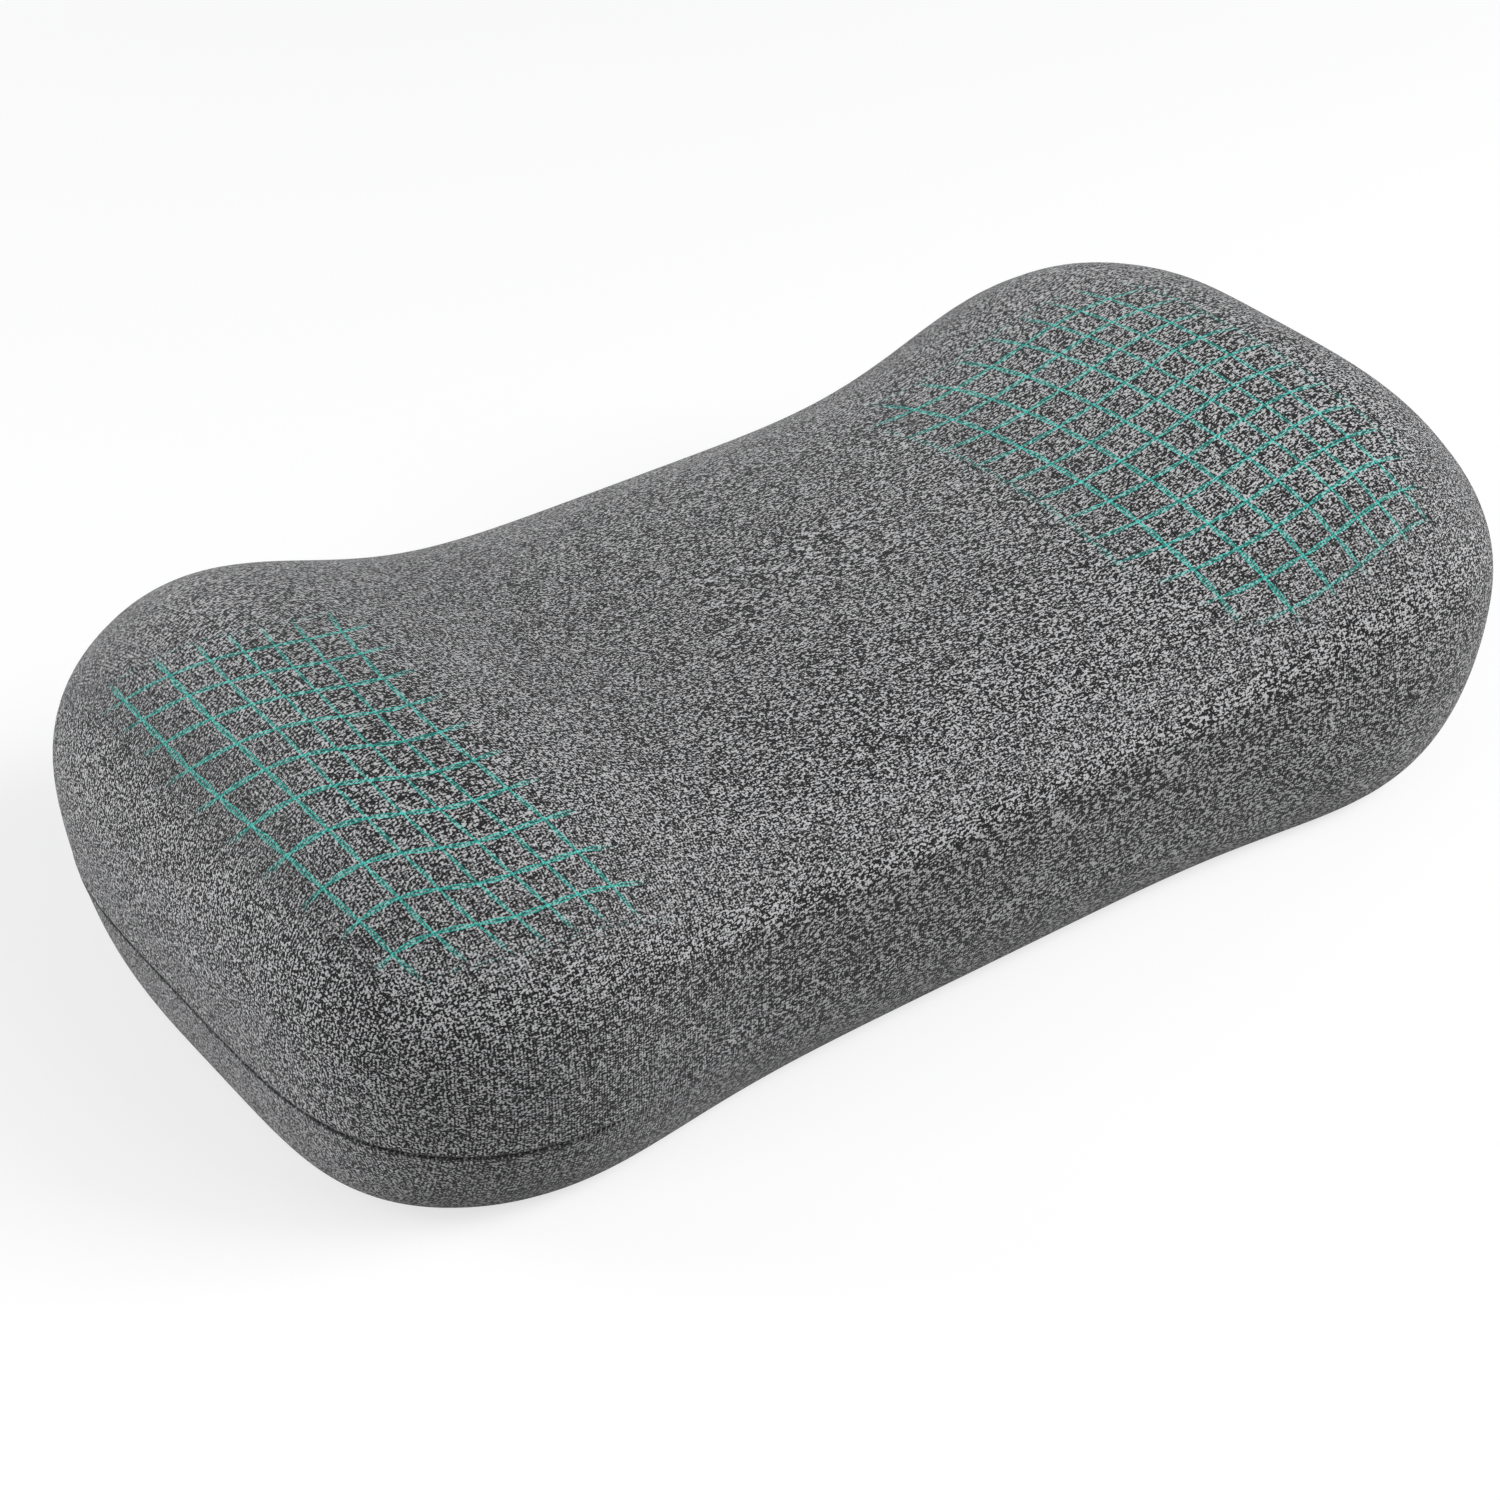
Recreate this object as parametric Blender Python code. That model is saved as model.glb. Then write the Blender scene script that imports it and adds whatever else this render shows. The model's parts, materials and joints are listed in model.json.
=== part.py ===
# Contoured neck pillow: a foam core with two lobes and a lower middle, in a zipped knit cover.
# Metres, +Z up. The origin is under the middle of the pillow, on the surface that it lies on.
# X runs along the pillow, the zip goes round its -X end, and -Y is the front.

import bpy
import bmesh
import numpy as np
from mathutils import Matrix, Vector

# Plan of the pillow at its widest line
LENGTH = 0.300
FLARE_WIDTH = 0.1762        # that the sides flare towards, before the corners round them off
WAIST_WIDTH = 0.1446
WAIST_REACH = 0.098         # how far the waist reaches from the middle before it flares
WAIST_POWER = 4.489         # how suddenly it flares there
PLAN_POWER_X = 3.682        # superellipse powers of the plan: 2 is an ellipse, more is squarer
PLAN_POWER_Y = 4.302

# Heights
MIDDLE_HEIGHT = 0.0663
LOBE_HEIGHT = 0.0892        # that the ridge rises towards, before the ends round it off
LOBE_REACH = 0.1222         # from the middle to where it would have that height
LOBE_POWER = 2.515          # how wide the low middle stays
RIDGE_INSET = 0.0485        # from an end to where its rounding meets the ridge
WIDEST_HEIGHT_SIDE = 0.0400
WIDEST_HEIGHT_END = 0.0428
BASE_RATIO = 0.7895         # width of the flat base over the widest width

# Powers of the wall's section, above and below the widest line
TOP_POWER_SIDE = 2.542
TOP_POWER_END = 2.064
FOOT_POWER_SIDE = 2.268
FOOT_POWER_END = 1.639

# Zip round the -X end
SEAM_BELOW_WIDEST = 0.0177
SEAM_DROP = 0.0021          # how much further below it the seam is SEAM_RUN from the -X face
SEAM_RUN = 0.100
ZIP_LENGTH = 0.222
SLIT_WIDTH = 0.0005
TAPE_WIDTH = 0.0116
TAPE_OVERRUN = 0.006        # tape past each end of the slit
COIL_WIDTH = 0.0020
COIL_HEIGHT = 0.0015
STOP_LENGTH = 0.0022

# Slider and pull, across (y) and along (x) the zip
SLIDER_LENGTH = 0.0090
SLIDER_WALL = 0.0011
NECK_START = 0.0010         # past the slider's middle, where the coils part
NECK_LENGTH = 0.0024
NECK_WIDTH = 0.0015
FOOT_LENGTH = 0.0070
FOOT_WIDTH = 0.0032
FOOT_HEIGHT = 0.0008
BRIDGE_LEG = 0.0011
LEG_MARGIN = 0.0003         # of the bridge's legs round the bar's ends
BAR_RADIUS = 0.00065
EYE_WALL = 0.0006
PULL_LENGTH = 0.0165
PULL_TOP_WIDTH = 0.0034
PULL_END_WIDTH = 0.0062
PULL_THICKNESS = 0.0009
PULL_HOLE_RADIUS = 0.0012

# Walls and clearances
COVER_THICKNESS = 0.0015
TAPE_THICKNESS = 0.0005
CLEARANCE = 0.0003          # between pieces that meet
COIL_GAP = 0.0003           # between the two coils
TURNING_GAP = 0.0002        # round the bar, in the pull's eye
FOAM_EASE = 0.0024          # how far past a recess the foam takes to come back out

# Fineness of the surfaces
COLUMN_STEP = 0.0200
TURN_WEIGHT = 0.075         # metres that a radian of turning counts for, so corners get more columns
TOP_ROWS = 9
FOOT_ROWS = 3
PLAN_SAMPLES = 4001
PROFILE_SAMPLES = 240
NUDGE = 0.0001              # to either side, for reading a slope
SHARP_ANGLE = np.radians(50)
BAR_SEGMENTS = 20
ROUNDING = 0.00005          # within which two distances count as the same

# Depths under the cover's outer face
TAPE_OUTER = COVER_THICKNESS + CLEARANCE
TAPE_INNER = TAPE_OUTER + TAPE_THICKNESS
COIL_OUTER = TAPE_INNER + CLEARANCE
COIL_INNER = COIL_OUTER + COIL_HEIGHT
PLATE_OUTER = COIL_INNER + CLEARANCE
PLATE_INNER = PLATE_OUTER + SLIDER_WALL

# Distances from the seam's middle line
COIL_EDGE = COIL_GAP / 2 + COIL_WIDTH
SLIDER_EDGE = COIL_EDGE + CLEARANCE + SLIDER_WALL
CHANNEL_EDGE = SLIDER_EDGE + 2 * CLEARANCE
TAPE_EDGE = SLIT_WIDTH / 2 + TAPE_WIDTH

# Distances along the seam from the middle of the -X face, towards the back
ZIP_HALF = ZIP_LENGTH / 2
TAPE_END = ZIP_HALF + TAPE_OVERRUN
POCKET_HALF = SLIDER_LENGTH / 2 + CLEARANCE
SLIDER_PLACE = ZIP_HALF - CLEARANCE - STOP_LENGTH - POCKET_HALF
NECK_END = NECK_START + NECK_LENGTH
SPREAD_WIDTH = NECK_WIDTH + 2 * CLEARANCE
NECK_ROOM = (SLIDER_PLACE + NECK_START - CLEARANCE, SLIDER_PLACE + NECK_END + CLEARANCE)
POCKET_ENDS = (SLIDER_PLACE - POCKET_HALF, SLIDER_PLACE + POCKET_HALF)

# Bar of the bridge over the slider's foot
EYE_RADIUS = BAR_RADIUS + TURNING_GAP + EYE_WALL
BAR_HEIGHT = CLEARANCE + FOOT_HEIGHT + CLEARANCE + EYE_RADIUS


def clear_scene():
    for thing in list(bpy.data.objects):
        bpy.data.objects.remove(thing)


def material(name, colour, roughness, metallic=0.0):
    made = bpy.data.materials.new(name)
    made.use_nodes = True
    shader = made.node_tree.nodes["Principled BSDF"]
    shader.inputs["Base Color"].default_value = (*colour, 1.0)
    shader.inputs["Roughness"].default_value = roughness
    shader.inputs["Metallic"].default_value = metallic
    made.diffuse_color = (*colour, 1.0)
    return made


def add_object(name, mesh, finish, parent=None):
    made = bpy.data.objects.new(name, mesh)
    bpy.context.scene.collection.objects.link(made)
    mesh.materials.append(finish)
    made.parent = parent
    return made


def signed_power(values, power):
    return np.sign(values) * np.abs(values) ** power


def half_width(x):
    waist = np.exp(-np.abs(x / WAIST_REACH) ** WAIST_POWER)
    return (FLARE_WIDTH - (FLARE_WIDTH - WAIST_WIDTH) * waist) / 2


def top_height(x):
    rise = np.clip(np.abs(x) / LOBE_REACH, 0, 1)
    lobe = ((1 - np.cos(np.pi * rise)) / 2) ** LOBE_POWER
    return MIDDLE_HEIGHT + (LOBE_HEIGHT - MIDDLE_HEIGHT) * lobe


def surface_point(angle, turn):
    """Outer face of the cover. angle goes round the plan, and turn goes up the wall:
    -pi/2 at the edge of the flat base, 0 at the widest line, pi/2 on the ridge."""
    end_share = np.cos(angle) ** 2
    top_power = TOP_POWER_SIDE + (TOP_POWER_END - TOP_POWER_SIDE) * end_share
    foot_power = FOOT_POWER_SIDE + (FOOT_POWER_END - FOOT_POWER_SIDE) * end_share
    widest = WIDEST_HEIGHT_SIDE + (WIDEST_HEIGHT_END - WIDEST_HEIGHT_SIDE) * end_share
    across = np.clip(np.cos(turn), 0, 1)
    up = np.abs(np.sin(turn))
    above = turn > 0
    size = np.where(
        above,
        across ** (2 / top_power),
        BASE_RATIO + (1 - BASE_RATIO) * across ** (2 / foot_power),
    )
    plan_x = signed_power(np.cos(angle), 2 / PLAN_POWER_X)
    plan_y = signed_power(np.sin(angle), 2 / PLAN_POWER_Y)
    x = (LENGTH / 2 - RIDGE_INSET * (1 - size)) * plan_x
    y = half_width(LENGTH / 2 * plan_x) * size * plan_y
    z = np.where(
        above,
        widest + (top_height(x) - widest) * up ** (2 / top_power),
        widest * (1 - up ** (2 / foot_power)),
    )
    return np.stack(np.broadcast_arrays(x, y, z), axis=-1)


def seam_turn(angle):
    """The turn at which the wall has the seam's height."""
    end_share = np.cos(angle) ** 2
    foot_power = FOOT_POWER_SIDE + (FOOT_POWER_END - FOOT_POWER_SIDE) * end_share
    widest = WIDEST_HEIGHT_SIDE + (WIDEST_HEIGHT_END - WIDEST_HEIGHT_SIDE) * end_share
    along = LENGTH / 2 * (1 + signed_power(np.cos(angle), 2 / PLAN_POWER_X))
    height = widest - SEAM_BELOW_WIDEST - SEAM_DROP * np.clip(along / SEAM_RUN, 0, 1)
    return -np.arcsin((1 - height / widest) ** (foot_power / 2))


def unit(vectors):
    return vectors / np.linalg.norm(vectors, axis=-1, keepdims=True)


def slit_half(along):
    """Half the slit's width. It is wider where the slider's neck passes through it."""
    places = [POCKET_ENDS[0], *NECK_ROOM, ZIP_HALF]
    widths = [SLIT_WIDTH, SPREAD_WIDTH, SPREAD_WIDTH, SLIT_WIDTH]
    return np.interp(along, places, widths) / 2


def back_columns():
    """Angles of the columns on the back half, from the +X end to the -X end, and their distances
    along the seam from the -X face. They are closer where the plan turns, and one stands at each
    place along the zip where something ends."""
    angle = np.linspace(0, np.pi, PLAN_SAMPLES)
    seam = surface_point(angle, seam_turn(angle))
    step = np.diff(seam, axis=0)
    length = np.linalg.norm(step, axis=1)
    heading = np.unwrap(np.arctan2(step[:, 1], step[:, 0]))
    turning = np.abs(np.diff(heading, prepend=heading[0]))
    along = np.append(0, np.cumsum(length))
    along = along[-1] - along
    weight = np.append(0, np.cumsum(length + TURN_WEIGHT * turning))
    ends = sorted([*POCKET_ENDS, *NECK_ROOM, ZIP_HALF, TAPE_END], reverse=True)
    marks = [0.0, *np.interp(ends, along[::-1], weight[::-1]), weight[-1]]
    found = [0.0]
    for start, stop in zip(marks[:-1], marks[1:]):
        count = int(np.ceil((stop - start) / COLUMN_STEP))
        found += list(np.linspace(start, stop, count + 1)[1:])
    return np.interp(found, weight, angle), np.interp(found, weight, along)


class Wall:
    """The pillow's outer face as columns, each a profile from the base's edge to the ridge,
    read by its distance above the seam."""

    def __init__(self):
        back, along = back_columns()
        self.angles = np.concatenate([-back[-2:0:-1], back])
        self.along = np.concatenate([-along[-2:0:-1], along])
        self.count = len(self.angles)
        self.partner = (self.count - 2 - np.arange(self.count)) % self.count
        self.build_profiles()

    def build_profiles(self):
        samples = np.linspace(0, np.pi / 2, PROFILE_SAMPLES)
        self.points, self.normals, self.arcs, self.widest = [], [], [], []
        for angle in self.angles:
            seam = seam_turn(angle)
            turns = np.unique(np.concatenate([-samples, samples, [seam]]))
            points = surface_point(angle, turns)
            sideways = surface_point(angle + NUDGE, turns) - surface_point(angle - NUDGE, turns)
            normals = np.cross(sideways, np.gradient(points, axis=0))
            ridge = points[-1, 0]
            slope = (top_height(ridge + NUDGE) - top_height(ridge - NUDGE)) / (2 * NUDGE)
            normals[-1] = (-slope, 0, 1)
            normals[0] = (0, 0, -1)
            arcs = np.append(0, np.cumsum(np.linalg.norm(np.diff(points, axis=0), axis=1)))
            self.points.append(points)
            self.normals.append(unit(normals))
            self.arcs.append(arcs - arcs[np.searchsorted(turns, seam)])
            self.widest.append(self.arcs[-1][np.searchsorted(turns, 0.0)])

    def at_column(self, j, above):
        """Point and outward normal of column j at this distance above the seam."""
        point = [np.interp(above, self.arcs[j], self.points[j][:, k]) for k in range(3)]
        normal = [np.interp(above, self.arcs[j], self.normals[j][:, k]) for k in range(3)]
        return np.array(point), unit(np.array(normal))

    def at(self, along, above, depth):
        """Point this far along the seam, above it, and under the outer face."""
        order = np.argsort(self.along)
        k = int(np.clip(np.searchsorted(self.along[order], along), 1, self.count - 1))
        first, second = order[k - 1], order[k]
        share = (along - self.along[first]) / (self.along[second] - self.along[first])
        ends = [point - normal * depth for point, normal in
                (self.at_column(first, above), self.at_column(second, above))]
        return ends[0] * (1 - share) + ends[1] * share

    def row_heights(self, j):
        """Distances above the seam of the rows of column j, from the base's edge to the ridge.
        The first of the top rows is on the widest line, if the zip leaves it free."""
        foot, ridge = self.arcs[j][0], self.arcs[j][-1]
        slit = slit_half(self.along[j])
        near = [slit, CHANNEL_EDGE, CHANNEL_EDGE + FOAM_EASE, TAPE_EDGE, TAPE_EDGE + FOAM_EASE]
        lower = np.linspace(foot, -near[-1], FOOT_ROWS + 1)[:-1]
        upper = np.linspace(max(self.widest[j], near[-1] + FOAM_EASE), ridge, TOP_ROWS)
        return np.concatenate([lower, -np.array(near[::-1]), near, upper])

    def skin(self, depth):
        """Grid of points, rows by columns, at this depth: one number, or a function of the
        distances along and above the seam."""
        columns = []
        for j in range(self.count):
            column = []
            for above in self.row_heights(j):
                point, normal = self.at_column(j, above)
                here = depth(self.along[j], above) if callable(depth) else depth
                column.append(point - normal * here)
            columns.append(column)
        return np.array(columns).transpose(1, 0, 2)


class Faces:
    """Collects points and faces, and makes a mesh of them."""

    def __init__(self):
        self.points, self.faces = [], []

    def add_points(self, points):
        first = len(self.points)
        self.points += [tuple(point) for point in points]
        return np.arange(first, len(self.points))

    def add_face(self, corners, flip=False):
        kept = [int(c) for k, c in enumerate(corners) if c != corners[k - 1]]
        # Turned about its first corner, a warped face still splits along the same diagonal
        self.faces.append([kept[0], *kept[:0:-1]] if flip else kept)

    def mesh(self, name):
        made = bpy.data.meshes.new(name)
        made.from_pydata(self.points, [], self.faces)
        made.validate()
        made.shade_smooth()
        made.set_sharp_from_angle(angle=SHARP_ANGLE)
        return made


def add_skin(faces, wall, grid, inward, open_band=None, open_columns=()):
    """One closed face of the pillow: wall, top and base, open along the slit if asked."""
    rows, count = grid.shape[:2]
    ids = np.empty((rows, count), int)
    for i in range(rows - 1):
        ids[i] = faces.add_points(grid[i])
    for j in range(count):
        partner = wall.partner[j]
        ids[-1, j] = ids[-1, partner] if partner < j else faces.add_points([grid[-1, j]])[0]
    for i in range(rows - 1):
        for j in range(count):
            after = (j + 1) % count
            if i == open_band and j in open_columns:
                continue
            faces.add_face([ids[i, j], ids[i, after], ids[i + 1, after], ids[i + 1, j]], inward)
    for j in range(count // 2 - 1, count - 1):
        p, q = wall.partner[j], wall.partner[j + 1]
        faces.add_face([ids[0, j], ids[0, p], ids[0, q], ids[0, j + 1]], inward)
    return ids


def make_cover(wall, finish):
    """Knit cover: one shell all round the core, slit where the zip is."""
    faces = Faces()
    outer_grid, inner_grid = wall.skin(0.0), wall.skin(COVER_THICKNESS)
    count, rows = wall.count, len(outer_grid)
    band = (rows - TOP_ROWS + FOOT_ROWS) // 2 - 1
    inside = np.abs(wall.along) <= ZIP_HALF + ROUNDING
    opened = [j for j in range(count) if inside[j] and inside[(j + 1) % count]]
    outer = add_skin(faces, wall, outer_grid, False, band, opened)
    inner = add_skin(faces, wall, inner_grid, True, band, opened)
    for j in opened:
        after = (j + 1) % count
        low, high = band, band + 1
        faces.add_face([outer[low, j], outer[low, after], inner[low, after], inner[low, j]])
        faces.add_face([outer[high, after], outer[high, j], inner[high, j], inner[high, after]])
    first, last = ends_of_run(opened, count)
    for j, flip in ((first, False), (last, True)):
        faces.add_face([outer[band, j], inner[band, j], inner[band + 1, j], outer[band + 1, j]], flip)
    return add_object("cover", faces.mesh("cover"), finish)


def ends_of_run(opened, count):
    """First column, and the one after the last band, of a run that may pass the loop's start."""
    first = next(j for j in opened if (j - 1) % count not in opened)
    last = next((j + 1) % count for j in opened if (j + 1) % count not in opened)
    return first, last


def foam_depth(along, above):
    """Depth of the foam under the cover's outer face: deeper behind the zip and its slider."""
    if abs(along) > TAPE_END + ROUNDING or abs(above) > TAPE_EDGE + ROUNDING:
        return COVER_THICKNESS + CLEARANCE
    if abs(above) > CHANNEL_EDGE + ROUNDING:
        return TAPE_INNER + CLEARANCE
    if abs(along - SLIDER_PLACE) > POCKET_HALF + ROUNDING:
        return COIL_INNER + CLEARANCE
    return PLATE_INNER + 2 * CLEARANCE


def make_core(wall, finish):
    faces = Faces()
    add_skin(faces, wall, wall.skin(foam_depth), False)
    return add_object("foam_core", faces.mesh("foam_core"), finish)


def tape_edges(along):
    return slit_half(along) + CLEARANCE / 2, TAPE_EDGE


def coil_edges(along):
    return COIL_GAP / 2, COIL_EDGE


def top_stop_edges(along):
    return COIL_EDGE / 2, COIL_EDGE


def bottom_stop_edges(along):
    return -COIL_EDGE, COIL_EDGE


def make_strip(name, wall, finish, span, edges, depths, side=1):
    """Closed strip along the zip: span is its two ends along the seam, edges gives its edges'
    distances from the seam, side is 1 above it or -1 below, and depths are its two faces."""
    low, high = span
    places = [low, *sorted(a for a in wall.along if low + CLEARANCE < a < high - CLEARANCE), high]
    faces = Faces()
    rings = []
    for along in places:
        below, above = sorted(side * edge for edge in edges(along))
        corners = [(below, depths[0]), (above, depths[0]), (above, depths[1]), (below, depths[1])]
        rings.append(faces.add_points([wall.at(along, height, depth) for height, depth in corners]))
    for ring, following in zip(rings[:-1], rings[1:]):
        for k in range(4):
            after = (k + 1) % 4
            faces.add_face([ring[k], ring[after], following[after], following[k]])
    faces.add_face(list(rings[0]), True)
    faces.add_face(list(rings[-1]))
    return add_object(name, faces.mesh(name), finish)


def make_zip(wall, tape_finish, coil_finish, stop_finish):
    tape_span = (-TAPE_END, TAPE_END)
    coil_span = (-ZIP_HALF + STOP_LENGTH + 2 * CLEARANCE, NECK_ROOM[0])
    top_stop_span = (POCKET_ENDS[1], POCKET_ENDS[1] + STOP_LENGTH)
    bottom_stop_span = (-ZIP_HALF + CLEARANCE, -ZIP_HALF + CLEARANCE + STOP_LENGTH)
    tape_faces = (TAPE_OUTER, TAPE_INNER)
    coil_faces = (COIL_OUTER, COIL_INNER)
    for name, side in (("upper", 1), ("lower", -1)):
        make_strip(f"zip_tape_{name}", wall, tape_finish, tape_span, tape_edges, tape_faces, side)
        make_strip(f"zip_coil_{name}", wall, coil_finish, coil_span, coil_edges, coil_faces, side)
        make_strip(
            f"zip_top_stop_{name}", wall, stop_finish, top_stop_span, top_stop_edges, coil_faces, side
        )
    make_strip("zip_bottom_stop", wall, stop_finish, bottom_stop_span, bottom_stop_edges, coil_faces)


def slider_frame(wall):
    """Place of the slider: x along the zip, z out of the cover, origin on the cover's face."""
    middle = Vector(wall.at(SLIDER_PLACE, 0.0, 0.0))
    outward = Vector(wall.at(SLIDER_PLACE, 0.0, -CLEARANCE)) - middle
    ends = [Vector(wall.at(SLIDER_PLACE + side * SLIDER_LENGTH / 2, 0.0, 0.0)) for side in (-1, 1)]
    along = (ends[1] - ends[0]).normalized()
    down = outward.cross(along).normalized()
    outward = along.cross(down)
    return Matrix.Translation((ends[0] + ends[1]) / 2) @ axes_matrix(along, down, outward)


def axes_matrix(x, y, z):
    return Matrix((x, y, z)).transposed().to_4x4()


def add_empty(name, matrix):
    made = bpy.data.objects.new(name, None)
    bpy.context.scene.collection.objects.link(made)
    made.matrix_world = matrix
    return made


def box_mesh(name, low, high):
    made = bpy.data.meshes.new(name)
    shape = bmesh.new()
    bmesh.ops.create_cube(shape, size=1.0)
    size = Vector(high) - Vector(low)
    bmesh.ops.scale(shape, vec=size, verts=shape.verts)
    bmesh.ops.translate(shape, vec=(Vector(high) + Vector(low)) / 2, verts=shape.verts)
    shape.to_mesh(made)
    shape.free()
    return made


def rod_mesh(name, radius, length, centre):
    """Round rod along x."""
    made = bpy.data.meshes.new(name)
    shape = bmesh.new()
    turned = Matrix.Translation(centre) @ Matrix.Rotation(np.pi / 2, 4, "Y")
    bmesh.ops.create_cone(
        shape, cap_ends=True, segments=BAR_SEGMENTS, radius1=radius, radius2=radius,
        depth=length, matrix=turned,
    )
    shape.to_mesh(made)
    shape.free()
    return made


def add_boolean(target, mesh, operation, finish):
    """Adds a hidden helper with this mesh, and a Boolean on target that uses it."""
    helper = add_object(f"{target.name}_{mesh.name}", mesh, finish, target.parent)
    helper.hide_render = True
    helper.display_type = "WIRE"
    boolean = target.modifiers.new(mesh.name, "BOOLEAN")
    boolean.operation = operation
    boolean.object = helper
    boolean.solver = "EXACT"


def make_slider(frame, finish):
    """Channel round the two coils, a neck out through the slit, and a bridge with its bar."""
    half = SLIDER_LENGTH / 2
    body = add_object(
        "zip_slider",
        box_mesh("channel", (-half, -SLIDER_EDGE, -PLATE_INNER), (half, SLIDER_EDGE, -COIL_OUTER)),
        finish,
        frame,
    )
    room = SLIDER_EDGE - SLIDER_WALL
    cut = box_mesh("channel_room", (-SLIDER_LENGTH, -room, -PLATE_OUTER), (SLIDER_LENGTH, room, 0.0))
    add_boolean(body, cut, "DIFFERENCE", finish)
    foot_top = CLEARANCE + FOOT_HEIGHT
    neck_low = (NECK_START, -NECK_WIDTH / 2, -PLATE_OUTER - SLIDER_WALL / 2)
    neck_high = (NECK_END, NECK_WIDTH / 2, foot_top - FOOT_HEIGHT / 2)
    add_boolean(body, box_mesh("neck", neck_low, neck_high), "UNION", finish)
    foot_half = FOOT_LENGTH / 2
    foot = box_mesh("foot", (-foot_half, -FOOT_WIDTH / 2, CLEARANCE), (foot_half, FOOT_WIDTH / 2, foot_top))
    add_boolean(body, foot, "UNION", finish)
    leg_half = BAR_RADIUS + LEG_MARGIN
    for end, side in (("rear", -1), ("front", 1)):
        near, far = sorted((side * foot_half, side * (foot_half - BRIDGE_LEG)))
        leg = box_mesh(
            f"{end}_leg",
            (near, -leg_half, foot_top - FOOT_HEIGHT / 2),
            (far, leg_half, BAR_HEIGHT + leg_half),
        )
        add_boolean(body, leg, "UNION", finish)
    bar_length = FOOT_LENGTH - BRIDGE_LEG
    add_boolean(body, rod_mesh("bar", BAR_RADIUS, bar_length, (0, 0, BAR_HEIGHT)), "UNION", finish)
    return body


def pull_frame(frame):
    """Place of the pull: x on the bar, z opposite to the way that it hangs."""
    place = frame.matrix_world
    bar = (place.to_3x3() @ Vector((1, 0, 0))).normalized()
    up = (Vector((0, 0, 1)) - bar * bar.z).normalized()
    centre = place @ Vector((0, 0, BAR_HEIGHT))
    return Matrix.Translation(centre) @ axes_matrix(bar, up.cross(bar), up)


def make_pull(frame, finish):
    """Drop-shaped tab that hangs from an eye on the bar."""
    eye_length = FOOT_LENGTH - 2 * BRIDGE_LEG - 2 * CLEARANCE
    eye = rod_mesh("eye", EYE_RADIUS, eye_length, (0, 0, 0))
    pull = add_object("zip_pull", eye, finish, frame)
    radius = PULL_END_WIDTH / 2
    low = -PULL_LENGTH + radius
    turns = np.linspace(0, np.pi, 13)
    outline = [(PULL_TOP_WIDTH / 2, -EYE_RADIUS / 2)]
    outline += [(radius * np.cos(t), low - radius * np.sin(t)) for t in turns]
    outline += [(-PULL_TOP_WIDTH / 2, -EYE_RADIUS / 2)]
    tab = bpy.data.meshes.new("tab")
    shape = bmesh.new()
    back = [shape.verts.new((x, PULL_THICKNESS / 2, z)) for x, z in outline]
    face = shape.faces.new(back)
    pushed = bmesh.ops.extrude_face_region(shape, geom=[face])["geom"]
    moved = [item for item in pushed if isinstance(item, bmesh.types.BMVert)]
    bmesh.ops.translate(shape, vec=(0, -PULL_THICKNESS, 0), verts=moved)
    bmesh.ops.recalc_face_normals(shape, faces=shape.faces)
    shape.to_mesh(tab)
    shape.free()
    add_boolean(pull, tab, "UNION", finish)
    hole = rod_mesh("hole", PULL_HOLE_RADIUS, 4 * PULL_THICKNESS, (0, 0, 0))
    hole.transform(Matrix.Translation((0, 0, low)) @ Matrix.Rotation(np.pi / 2, 4, "Z"))
    add_boolean(pull, hole, "DIFFERENCE", finish)
    bore = rod_mesh("bore", BAR_RADIUS + TURNING_GAP, 2 * eye_length, (0, 0, 0))
    add_boolean(pull, bore, "DIFFERENCE", finish)
    return pull


def main():
    clear_scene()
    knit = material("grey_knit", (0.16, 0.16, 0.165), 0.95)
    foam = material("memory_foam", (0.82, 0.79, 0.72), 0.9)
    tape = material("zip_tape", (0.05, 0.05, 0.055), 0.9)
    nylon = material("zip_coil", (0.03, 0.03, 0.03), 0.45)
    metal = material("zip_metal", (0.06, 0.06, 0.065), 0.35, 0.8)
    wall = Wall()
    make_core(wall, foam)
    make_cover(wall, knit)
    make_zip(wall, tape, nylon, metal)
    slider_place = add_empty("slider_place", slider_frame(wall))
    make_slider(slider_place, metal)
    bpy.context.view_layer.update()
    pull_place = add_empty("pull_place", pull_frame(slider_place))
    make_pull(pull_place, metal)


main()
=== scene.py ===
import json

import bmesh
import bpy
import numpy as np
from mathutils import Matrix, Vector
from mathutils.bvhtree import BVHTree

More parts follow.
